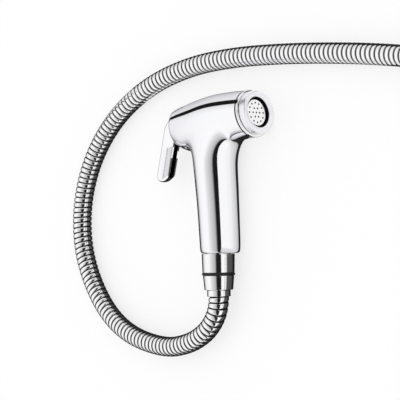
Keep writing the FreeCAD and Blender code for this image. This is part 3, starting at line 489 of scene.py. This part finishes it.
def shell_cage():
    """Control mesh of the handset's skin: barrel rings with the handle bridged in below."""
    bm = bmesh.new()

    def barrel_ring(place, slope=0.0, inset=0.0):
        ring = []
        for index in range(RING_POINTS):
            turn = 2 * math.pi * index / RING_POINTS
            along = place + slope * ((1 - math.cos(turn)) / 2) ** 2
            ring.append(bm.verts.new(barrel_point(along, turn, inset)))
        return ring

    rings = [
        barrel_ring(BARREL_FRONT, inset=2.2), barrel_ring(BARREL_FRONT, inset=0.25),
        barrel_ring(BARREL_FRONT - 0.5), barrel_ring(27),
        barrel_ring(7, 10.5), barrel_ring(-2.5), barrel_ring(-12, -10.5),
        barrel_ring(-31), barrel_ring(-38), barrel_ring(-40.9), barrel_ring(-41.5, inset=1.2),
        barrel_ring(-41.5, inset=3.5),
    ]
    crease, middle, tail = 4, 5, 6
    opening = range(5, 11)
    for index in range(len(rings) - 1):
        for step in range(RING_POINTS):
            if index in (crease, middle) and step in opening:
                continue
            after = (step + 1) % RING_POINTS
            bm.faces.new((rings[index][step], rings[index][after],
                          rings[index + 1][after], rings[index + 1][step]))
    bm.faces.new(rings[0])
    bm.faces.new(rings[-1])

    def handle_ring(height, inset=0.0, slope=0.0):
        radius = (between(HANDLE_RADII, height)[0] - inset) / RING_SHRINK
        centre = between(HANDLE_CENTRES, height)[0]
        ring = []
        for index in range(RING_POINTS):
            turn = 2 * math.pi * index / RING_POINTS
            x = centre + radius * math.cos(turn)
            ring.append(bm.verts.new((x, radius * math.sin(turn), height + slope * x)))
        return ring

    lean = math.tan(math.radians(BARREL_TILT))
    column = [
        handle_ring(71.5, slope=lean), handle_ring(62, slope=lean * 0.6), handle_ring(50),
        handle_ring(35), handle_ring(20), handle_ring(7), handle_ring(2.2),
        handle_ring(0, inset=0.7), handle_ring(0, inset=3.4),
    ]
    for low, high in zip(column[1:], column):
        for step in range(RING_POINTS):
            after = (step + 1) % RING_POINTS
            bm.faces.new((low[step], low[after], high[after], high[step]))
    bm.faces.new(column[-1])
    loop = []
    for step in range(8, 4, -1):
        loop.append(rings[crease][step])
    loop.append(rings[middle][5])
    for step in range(5, 12):
        loop.append(rings[tail][step])
    loop.append(rings[middle][11])
    for step in range(11, 8, -1):
        loop.append(rings[crease][step])
    for step in range(RING_POINTS):
        after = (step + 1) % RING_POINTS
        bm.faces.new((loop[step], loop[after], column[0][after], column[0][step]))
    for side in (rings[middle][5], rings[middle][11]):
        side.co.y *= 1.04
    bmesh.ops.recalc_face_normals(bm, faces=bm.faces)
    return bm


def cross_tool(low, high, radius):
    """Cutting cylinder across the handset, about the lever's pivot."""
    place = HANDSET @ Matrix.Translation((PIVOT.x, 0, PIVOT.z)) @ Matrix.Rotation(
        math.pi / 2, 4, "Z")
    return tube_tool(low, high, radius, place, 48)


def make_shell():
    """One faired skin over barrel and handle, cut with its slot and its bores."""
    bm = shell_cage()
    bm.transform(METRES @ HANDSET)
    mesh = bpy.data.meshes.new("skin")
    bm.to_mesh(mesh)
    bm.free()
    work = bpy.data.objects.new("skin", mesh)
    scene.collection.objects.link(work)
    smooth = work.modifiers.new("smooth", "SUBSURF")
    smooth.levels = smooth.render_levels = 3
    graph = bpy.context.evaluated_depsgraph_get()
    skin = bpy.data.meshes.new_from_object(work.evaluated_get(graph))
    bpy.data.objects.remove(work)
    bm = bmesh.new()
    bm.from_mesh(skin)
    bm.transform((METRES @ HANDSET).inverted())
    for fold, reaches in FOLDS:
        for reach in reaches:
            near = [v for v in bm.verts if (v.co - fold).length < reach]
            for _ in range(FAIRING_PASSES):
                bmesh.ops.smooth_vert(bm, verts=near, factor=0.5, use_axis_x=True,
                                      use_axis_y=True, use_axis_z=True)
    bm.transform(METRES @ HANDSET)
    bm.to_mesh(skin)
    bm.free()
    upright = (HANDSET @ Matrix.Translation((TUBE_CENTRE, 0, 0))
               @ Matrix.Rotation(-math.pi / 2, 4, "Y"))
    tools = [box_tool(*SHELL_SLOT, HANDSET)]
    for start, end, radius in BARREL_BORES:
        tools.append(tube_tool(start, end, radius, BARREL))
    for start, end, radius in HANDLE_BORES:
        tools.append(tube_tool(start, end, radius, upright))
    tools.append(cross_tool(*CHEEK_BORE, PIN_HOLE))
    mesh = carved(skin, tools)
    # The barrel's front edge gets painted shade: a dark seam line against the flange.
    mark_mesh_shade(mesh, BARREL,
              lambda along, radius: 1.0 if along > BARREL_FRONT - SEAM_SHADE_REACH else 0.0)
    return shown("handset_shell", mesh, "chrome_shell", "root", ("body_shell",), 32.0, False)


def lever_outline(inset=0.0):
    """Side of the lever, tip to head, as X and Z."""
    back = LEVER_TIP[0] + inset / math.cos(math.atan(LEVER_SLANT))
    low = LEVER_TIP[1] + inset
    heel = low + 3.2
    neck = PIVOT.z - 2

    def on_back(height, share=0.0):
        return (back + (height - LEVER_TIP[1]) * LEVER_SLANT + share * LEVER_DEPTH, height)

    return (
        on_back(heel), on_back(neck),
        (PIVOT.x - 9.8 + inset, PIVOT.z + 2.4 - 0.6 * inset),
        (PIVOT.x - 4.6, PIVOT.z + 4.2 - inset), (PIVOT.x + 1.2, PIVOT.z + 3.6 - inset),
        (PIVOT.x + 3.4 + 4 * inset, PIVOT.z), on_back(PIVOT.z - 8, 1), on_back(heel, 1),
        on_back(low, 0.66), on_back(low, 0.3),
    )


def make_lever():
    """Channel lever with softly rounded back, its nub and its pin hole."""
    bm = side_tool(lever_outline(), LEVER_WIDTH / 2)
    rims = []
    for edge in bm.edges:
        ends = [v.co for v in edge.verts]
        on_side = (abs(abs(ends[0].y) - LEVER_WIDTH / 2) < 0.01
                   and abs(ends[0].y - ends[1].y) < 0.01)
        if on_side and max(v.x for v in ends) < PIVOT.x - 8:
            rims.append(edge)
        elif abs(ends[0].y - ends[1].y) > 1 and ends[0].z < LEVER_TIP[1] + 5:
            rims.append(edge)
    bmesh.ops.bevel(bm, geom=rims, offset=LEVER_ROUND, offset_type="OFFSET", segments=6,
                    profile=0.5, affect="EDGES", material=-1, clamp_overlap=True)
    bm.transform(METRES @ HANDSET)
    mesh = bpy.data.meshes.new("lever_block")
    bm.to_mesh(mesh)
    bm.free()
    hollow = side_tool(lever_outline(LEVER_WALL), LEVER_WIDTH / 2 - LEVER_WALL)
    hollow.transform(METRES @ HANDSET)
    mesh = carved(mesh, [hollow, cross_tool(-8, 8, PIN_HOLE)])
    lean = math.radians(BARREL_TILT)
    nub_end = STEM_BACK - NUB_REACH
    tip = Vector((nub_end * math.cos(lean), BARREL_HEIGHT + nub_end * math.sin(lean)))
    back = LEVER_TIP[0] + LEVER_WALL - 0.2
    nub = side_tool((
        (back + (tip.y - 2.5 - LEVER_TIP[1]) * LEVER_SLANT, tip.y - 2.5), (tip.x, tip.y - 1.8),
        (tip.x, tip.y + 1.8), (back + (tip.y + 2.5 - LEVER_TIP[1]) * LEVER_SLANT, tip.y + 2.5),
    ), LEVER_WIDTH / 2 - LEVER_WALL / 2)
    nub.transform(METRES @ HANDSET)
    mesh = carved(mesh, [nub], "UNION")
    return shown("press_lever", mesh, "chrome_shell", "lever", ("lever",), 32.0, True)


def make_nozzle():
    """Flange, dished face ring and drilled spray plate."""
    # The flange's back edge gets painted shade: a dark seam line against the barrel.
    turned("spout_flange", (
        (FLANGE_BACK - SKIRT_LENGTH, SKIRT_BORE), (FLANGE_BACK - SKIRT_LENGTH, SKIRT_RADIUS),
        (FLANGE_BACK, SKIRT_RADIUS), (FLANGE_BACK, FLANGE_RADIUS),
        (FLANGE_FRONT, FLANGE_RADIUS), (FLANGE_FRONT, BOSS_RADIUS),
        (FLANGE_FRONT + BOSS_LENGTH, BOSS_RADIUS), (FLANGE_FRONT + BOSS_LENGTH, SKIRT_BORE),
    ), BARREL, "chrome_brass", {3: 0.64, 4: 0.64}, stands_for=("nozzle_flange",),
        shade_of=lambda along, radius: 1.0 if along < FLANGE_BACK + 0.46 else 0.0)
    dish = RING_FRONT - DISH_DEPTH
    # The ring's mouth wall and lip get painted shade: a dark line round the recess.
    turned("spray_face_ring", (
        (RING_BACK, RING_BORE), (RING_BACK, RING_RADIUS), (RING_FRONT, RING_RADIUS),
        (RING_FRONT, RIM_RADIUS), (dish, DISH_RADIUS), (dish - 0.7, MOUTH_RADIUS),
        (dish - 0.85, MOUTH_RADIUS), (LIP_BACK, MOUTH_RADIUS), (LIP_BACK, RING_BORE),
    ), BARREL, "satin_ring", {1: 0.3, 2: 1.2, 3: 0.2, 4: 0.25},
        stands_for=("face_ring",),
        shade_of=lambda along, radius: 1.0 if radius < DISH_RADIUS - 0.05 else 0.0)
    bm = bmesh.new()
    outline = ((LIP_BACK - PLATE_THICKNESS, 0), (LIP_BACK - PLATE_THICKNESS, PLATE_RADIUS),
               (LIP_BACK, PLATE_RADIUS),
               (LIP_BACK, 11.2), (LIP_BACK - 0.5, MOUTH_RADIUS), (LIP_BACK - 0.5, 9.75),
               (LIP_BACK - 0.15, 9.6), (LIP_BACK, 9.45), (LIP_BACK, 0))
    verts = [bm.verts.new((along, 0, radius)) for along, radius in outline]
    edges = [bm.edges.new(pair) for pair in zip(verts, verts[1:])]
    bmesh.ops.spin(bm, geom=verts + edges, cent=(0, 0, 0), axis=(1, 0, 0), dvec=(0, 0, 0),
                   angle=2 * math.pi, steps=96, use_merge=True, use_duplicate=False)
    bmesh.ops.remove_doubles(bm, verts=bm.verts, dist=0.0005)
    bmesh.ops.recalc_face_normals(bm, faces=bm.faces)
    bm.transform(METRES @ BARREL)
    plate = bpy.data.meshes.new("plate")
    bm.to_mesh(plate)
    bm.free()
    drill = bmesh.new()
    for reach, count in JET_ROWS:
        for index in range(count):
            turn = 2 * math.pi * index / count
            place = BARREL @ Matrix.Translation(
                (0, reach * math.cos(turn), reach * math.sin(turn)))
            one = tube_tool(LIP_BACK - 3, LIP_BACK + 1, JET_RADIUS, place, 20)
            part = bpy.data.meshes.new("drill")
            one.to_mesh(part)
            one.free()
            drill.from_mesh(part)
            bpy.data.meshes.remove(part)
    mesh = carved(plate, [drill])
    # The plate's back and the walls of its jets get painted shade, so the jets read as black
    # holes.
    mark_mesh_shade(mesh, BARREL, lambda along, radius: 4.0 if along < LIP_BACK - 0.1 else 0.0)
    shown("spray_disc", mesh, "spray_steel", "root", ("spray_plate",), 32.0, True)


def make_spring():
    """Copy of the valve spring, whose turns close up between the poppet and the cap."""
    bm = bmesh.new()
    bm.from_mesh(frame["nodes"]["valve_spring"].data)
    bmesh.ops.remove_doubles(bm, verts=bm.verts, dist=0.000001)
    mesh = bpy.data.meshes.new("return_spring")
    bm.to_mesh(mesh)
    bm.free()
    coil = shown("return_spring", mesh, "spring_steel", None, ("valve_spring",), 35.0, False)
    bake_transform(coil)


def make_inlet():
    """Collar with the spigots above and below it, and the rubber band under it."""
    end = COLLAR_END
    turned("inlet_collar", (
        (-12.4, 7.8), (-12.4, SPIGOT_RADIUS), (0.3, SPIGOT_RADIUS), (0.3, 12.1),
        (end, 11.75), (end, LOWER_SPIGOT_RADIUS), (end + 7.2, LOWER_SPIGOT_RADIUS),
        (end + 7.2, WATERWAY_RADIUS), (-5.4, WATERWAY_RADIUS), (-5.4, 6.1), (-10.4, 6.1),
        (-10.4, 7.8),
    ), INLET, "chrome_brass", {3: 0.45, 4: 0.45, 6: 0.5}, stands_for=("inlet_connector",))
    turned("collar_seal", (
        (end + BAND_GAP, 10.05), (end + BAND_GAP, 12.15), (BAND_END, 12.15), (BAND_END, 10.05),
    ), INLET, "rubber", {1: 0.35, 2: 0.35}, stands_for=("collar_band",))


def make_hose_end(prefix, place, body, nodes):
    """Union nut with its thread and the crimped ferrule behind it."""
    thread = []
    for turn in range(THREAD_TURNS):
        thread.append((NUT_THREAD_END - THREAD_PITCH * turn, THREAD_ROOT))
        thread.append((NUT_THREAD_END - THREAD_PITCH * (turn + 0.5), THREAD_CREST))
    corners = [
        (0, THREAD_ROOT), (0, 11.45), (NUT_LENGTH, 10.5), (NUT_LENGTH, 7.6), (8.8, 7.6),
        (8.8, NUT_BORE), (NUT_THREAD_END, NUT_BORE),
    ]
    turned(prefix + "_union_nut", corners + thread, place, "chrome_brass",
           {1: 0.45, 2: 0.45}, body=body, stands_for=(nodes[0],))
    start = NUT_LENGTH + 0.15
    end = start + FERRULE_LENGTH
    turned(prefix + "_crimp_sleeve", (
        (start, FERRULE_BORE), (start, FERRULE_RADIUS), (end, FERRULE_RADIUS),
        (end, FERRULE_BORE),
    ), place, "chrome_brass", {1: 0.35, 2: 0.35}, stands_for=(nodes[1],))


def route_line():
    """Smooth centreline of the hose, read from a spline on the route's corners."""
    curve = bpy.data.curves.new("hose_line", "CURVE")
    curve.dimensions = "3D"
    spline = curve.splines.new("NURBS")
    spline.points.add(len(ROUTE) - 1)
    for point, place in zip(spline.points, ROUTE):
        point.co = (place[0] / 1000, place[1] / 1000, place[2] / 1000, 1)
    spline.order_u = 3
    spline.use_endpoint_u = True
    spline.resolution_u = 24
    holder = bpy.data.objects.new("hose_line", curve)
    scene.collection.objects.link(holder)
    graph = bpy.context.evaluated_depsgraph_get()
    line = bpy.data.meshes.new_from_object(holder.evaluated_get(graph))
    points = [v.co.copy() for v in line.vertices]
    bpy.data.objects.remove(holder)
    return points


def carried_frames(points):
    """Tangent and side direction at each point, without twist."""
    tangents = []
    for index in range(len(points)):
        before = points[max(index - 1, 0)]
        after = points[min(index + 1, len(points) - 1)]
        tangents.append((after - before).normalized())
    side = Vector((0, 0, 1)).cross(tangents[0]).normalized()
    sides = [side]
    for before, after in zip(tangents, tangents[1:]):
        side = before.rotation_difference(after) @ side
        side = (side - after * side.dot(after)).normalized()
        sides.append(side)
    return tangents, sides


def make_hose():
    """Wound ridged strip: one ridge spun as a helix, then laid along the route."""
    points = route_line()
    tangents, sides = carried_frames(points)
    places = [0.0]
    for before, after in zip(points, points[1:]):
        places.append(places[-1] + (after - before).length)
    length = places[-1]
    blocks = int(length * 1000 / RIDGE_PITCH / BLOCK_TURNS)
    block = bmesh.new()
    verts = [block.verts.new((share * RIDGE_PITCH, 0, HOSE_RADIUS - depth))
             for share, depth in RIDGE_PROFILE]
    edges = [block.edges.new(pair) for pair in zip(verts, verts[1:])]
    bmesh.ops.spin(block, geom=verts + edges, cent=(0, 0, 0), axis=(1, 0, 0),
                   dvec=(RIDGE_PITCH / RIDGE_STEPS, 0, 0), angle=2 * math.pi * BLOCK_TURNS,
                   steps=BLOCK_TURNS * RIDGE_STEPS, use_merge=False, use_duplicate=False)
    block_mesh = bpy.data.meshes.new("ridge_block")
    block.to_mesh(block_mesh)
    block.free()
    bm = bmesh.new()
    for number in range(blocks):
        bm.from_mesh(block_mesh)
        block_mesh.transform(Matrix.Translation((BLOCK_TURNS * RIDGE_PITCH, 0, 0)))
    bpy.data.meshes.remove(block_mesh)
    bmesh.ops.remove_doubles(bm, verts=bm.verts, dist=0.02)
    # Each point's depth below the crown becomes painted shade: dark lines between the ridges.
    painted_shade = bm.verts.layers.float.new("painted_shade")
    span = (blocks * BLOCK_TURNS + 1) * RIDGE_PITCH / 1000
    index = 0
    for vert in sorted(bm.verts, key=lambda v: v.co.x):
        along = vert.co.x / 1000 * length / span
        vert[painted_shade] = (HOSE_RADIUS - math.hypot(vert.co.y, vert.co.z)) / RIDGE_DEPTH
        while index < len(places) - 2 and places[index + 1] < along:
            index += 1
        share = (along - places[index]) / (places[index + 1] - places[index])
        share = min(max(share, 0.0), 1.0)
        centre = points[index].lerp(points[index + 1], share)
        tangent = tangents[index].lerp(tangents[index + 1], share).normalized()
        side = sides[index].lerp(sides[index + 1], share)
        side = (side - tangent * side.dot(tangent)).normalized()
        up = tangent.cross(side)
        vert.co = centre + side * (vert.co.y / 1000) + up * (vert.co.z / 1000)
    rims = [edge for edge in bm.edges if edge.is_boundary]
    bmesh.ops.holes_fill(bm, edges=rims, sides=0)
    bmesh.ops.recalc_face_normals(bm, faces=bm.faces)
    mesh = bpy.data.meshes.new("ridged_hose")
    bm.to_mesh(mesh)
    bm.free()
    item = shown("ridged_hose", mesh, "hose_steel", "root", ("hose",), 180.0, False)


def assign_frame_finishes():
    """Every CAD node that shows takes the finish of its own slot."""
    for part in frame["record"]["subparts"]:
        item = frame["nodes"][part["node"]]
        if not item.hide_render:
            item.data.materials.clear()
            item.data.materials.append(SLOT_FINISHES[part["material_slot"]])


def make_camera():
    """Camera on the spray side, with a view VIEW_WIDTH wide where it aims."""
    data = bpy.data.cameras.new("camera")
    camera = bpy.data.objects.new("camera", data)
    scene.collection.objects.link(camera)
    camera.location = AIM + Vector((CAMERA_REACH * math.sin(CAMERA_LEAN), -CAMERA_DROP,
                                    CAMERA_REACH * math.cos(CAMERA_LEAN)))
    back = (camera.location - AIM).normalized()
    across = Vector((0, 1, 0)).cross(back).normalized()
    camera.rotation_euler = Matrix((across, back.cross(across), back)).transposed().to_euler()
    data.sensor_width = SENSOR_WIDTH
    data.lens = SENSOR_WIDTH * (camera.location - AIM).length / VIEW_WIDTH
    data.clip_start = 0.05
    data.clip_end = 20
    scene.camera = camera


def make_stage():
    """White floor that keeps a faint shadow."""
    bm = bmesh.new()
    bmesh.ops.create_grid(bm, x_segments=1, y_segments=1, size=3)
    mesh = bpy.data.meshes.new("floor")
    bm.to_mesh(mesh)
    bm.free()
    floor = bpy.data.objects.new("floor", mesh)
    scene.collection.objects.link(floor)
    floor.visible_glossy = False
    material = bpy.data.materials.new("white_paper")
    material.use_nodes = True
    tree = material.node_tree
    tree.nodes.clear()
    paper = node(tree, "BsdfDiffuse", Color=(1, 1, 1, 1))
    glow = node(tree, "Emission", Color=(1, 1, 1, 1), Strength=1.0)
    ray = node(tree, "LightPath")
    part = node(tree, "Math", [(ray.outputs["Is Camera Ray"], 0)], operation="MULTIPLY",
                input_1=0.72)
    mix = node(tree, "MixShader", [
        (part.outputs[0], 0), (paper.outputs[0], 1), (glow.outputs[0], 2)])
    node(tree, "OutputMaterial", [(mix.outputs[0], "Surface")])
    floor.data.materials.append(material)


def ramp(tree, source, stops):
    """Grey ramp over a value from 0 to 1; stops are places and greys."""
    item = node(tree, "ValToRGB", [(source, "Fac")])
    elements = item.color_ramp.elements
    while len(elements) < len(stops):
        elements.new(0.5)
    for element, (place, grey) in zip(elements, stops):
        element.position = place
        element.color = (grey, grey, grey, 1)
    return item.outputs["Color"]


def make_world():
    """White tent. What only shows in the chrome has dark strips: behind the camera along
    the handle, low on the far side, and under the surface it lies on."""
    world = bpy.data.worlds.new("white_tent")
    world.use_nodes = True
    scene.world = world
    tree = world.node_tree
    tree.nodes.clear()
    place = node(tree, "TexCoord")
    split = node(tree, "SeparateXYZ", [(place.outputs["Generated"], 0)])
    x, y, z = split.outputs
    turn = node(tree, "Math", [(x, 0), (z, 1)], operation="ARCTAN2").outputs[0]
    around = node(tree, "MapRange", [(turn, "Value")], **{"From Min": -math.pi,
                                                         "From Max": math.pi}).outputs[0]

    def at(degrees):
        return (degrees + 180) / 360

    along = ramp(tree, around, (
        (0.0, 0.03), (at(-136), 0.03), (at(-102), 0.05), (at(-90), 0.60), (at(-76), 0.90),
        (at(-60), 0.97), (at(-30), 1.0), (at(-22), 0.93), (at(-11), 0.76), (at(6), 0.60),
        (at(20), 0.46), (at(26), 0.20), (at(30), 0.01), (at(62), 0.01), (at(66), 1.0),
        (at(100), 1.0), (at(106), 0.30), (at(110), 0.10), (at(160), 0.07), (at(168), 0.02),
        (1.0, 0.02)))
    up = node(tree, "MapRange", [(z, "Value")], **{"From Min": -1.0, "From Max": 1.0}).outputs[0]
    rise = ramp(tree, up, (
        (0.0, 0.03), (0.44, 0.04), (0.48, 0.74), (0.60, 0.80), (1.0, 1.0)))
    sideways = node(tree, "MapRange", [(y, "Value")], interpolation_type="SMOOTHSTEP",
                    **{"From Min": 0.30, "From Max": 0.50}).outputs[0]
    left = node(tree, "MapRange", [(x, "Value")], interpolation_type="SMOOTHSTEP",
                **{"From Min": 0.20, "From Max": 0.0}).outputs[0]
    share = node(tree, "Math", [(sideways, 0), (left, 1)], operation="MULTIPLY").outputs[0]
    tent = node(tree, "MixRGB", [(share, 0), (along, 1), (rise, 2)])
    ray = node(tree, "LightPath")
    seen = node(tree, "MixRGB", [(ray.outputs["Is Glossy Ray"], 0), (tent.outputs[0], 2)],
                Color1=(1, 1, 1, 1))
    glow = node(tree, "Background", [(seen.outputs[0], "Color")], Strength=1.0)
    node(tree, "OutputWorld", [(glow.outputs[0], "Surface")])


def reflector(name, corners, stops, along=(1, 0, 0), span=(0.0, 1.0)):
    """Card that only shows in the chrome in front of it; its greys run in one direction."""
    bm = bmesh.new()
    bm.faces.new([bm.verts.new([value / 1000 for value in corner]) for corner in corners])
    mesh = bpy.data.meshes.new(name)
    bm.to_mesh(mesh)
    bm.free()
    card = bpy.data.objects.new(name, mesh)
    scene.collection.objects.link(card)
    card.visible_camera = card.visible_diffuse = card.visible_shadow = False
    card.visible_transmission = False
    material = bpy.data.materials.new(name)
    material.use_nodes = True
    tree = material.node_tree
    tree.nodes.clear()
    place = node(tree, "TexCoord")
    reach = node(tree, "VectorMath", [(place.outputs["Object"], 0)], operation="DOT_PRODUCT",
                 input_1=along)
    share = node(tree, "MapRange", [(reach.outputs["Value"], "Value")], **{
        "From Min": span[0] / 1000, "From Max": span[1] / 1000})
    glow = node(tree, "Emission", [(ramp(tree, share.outputs[0], stops), "Color")],
                Strength=1.0)
    clear = node(tree, "BsdfTransparent")
    side = node(tree, "NewGeometry")
    mix = node(tree, "MixShader", [
        (side.outputs["Backfacing"], 0), (glow.outputs[0], 1), (clear.outputs[0], 2)])
    node(tree, "OutputMaterial", [(mix.outputs[0], "Surface")])
    card.data.materials.append(material)


def make_reflectors():
    """Cards round the handset: white beside the handle, at its heel, over the barrel and
    under it, a pale one with a dark stripe behind the barrel, and one at the lever."""
    level, heel, top = CARD_LEVEL, CARD_HEEL, CARD_TOP
    white = ((0.0, 0.97), (1.0, 0.97))
    bright = ((0.0, 1.0), (1.0, 1.0))
    reflector("handle_card", (
        (66.4, heel, 64.1), (66.4, 60, 64.1), (85, 60, 28.1), (85, heel, 28.1)), white)
    reflector("handle_low_card", (
        (84, heel, 30), (84, 60, 30), (150, 60, 2), (150, heel, 2)), white)
    # Floor stand-in seen only in the chrome: its grey darkens towards the handle as painted
    # floor shade.
    reflector("floor_card", (
        (24.8, heel, level), (150, heel, level), (150, top, level), (24.8, top, level)),
        ((0.0, 0.55), (0.25, 0.72), (1.0, 0.92)), span=(24.8, 60))
    # Its grey darkens towards the handle as painted shade.
    reflector("heel_card", (
        (20.5, heel + 0.2, 26), (120, heel + 0.2, 108), (150, heel + 0.2, 108),
        (150, heel + 0.2, level), (24.8, heel + 0.2, level)),
        ((0.0, 0.70), (1.0, 0.97)), span=(24.8, 60))
    reflector("barrel_card", (
        (-180, 80, level), (100, 80, level), (100, 80, 80), (-180, 80, 80)),
        ((0.0, 1.0), (0.25, 0.92), (0.43, 0.86), (0.455, 0.95), (0.468, 0.01),
         (0.638, 0.01), (0.65, 0.95), (0.67, 0.74), (0.70, 0.86), (1.0, 0.95)),
        (-0.062, 0, 1), (-1.5, 78.5))
    reflector("barrel_floor_card", (
        (-80, 58, level), (60, 58, level), (60, top, level), (-80, top, level)), bright)
    reflector("barrel_low_card", (
        (-76, top, level), (110, top, level), (110, top, 12.5), (-76, top, 12.5)), bright)
    reflector("underside_card", (
        (-35, 23.5, level), (-35, 23.5, 24), (-8, 23.5, 24), (-8, 23.5, level)), white)
    reflector("underside_far_card", (
        (-104, 5, level), (-104, 5, 24), (-62, 5, 24), (-62, 5, level)), white)
    reflector("lever_card", (
        (-112, 3, 83), (-112, 34.4, 83), (-55, 34.4, 45), (-55, 3, 45)),
        ((0.0, 0.95), (0.215, 0.95), (0.225, 0.26), (0.275, 0.36), (0.30, 0.74),
         (0.66, 0.78), (0.70, 0.22), (0.76, 0.42), (1.0, 0.42)),
        (1, -0.787, 0), (-122, -82))


make_camera()
make_shell()
make_lever()
make_nozzle()
make_spring()
make_inlet()
make_hose_end("handset", HOSE_END, "root", ("hose_nut", "hose_ferrule"))
make_hose_end("wall", WALL_END, "wall_nut", ("wall_nut", "wall_ferrule"))
make_hose()
assign_frame_finishes()
make_stage()
make_world()
make_reflectors()
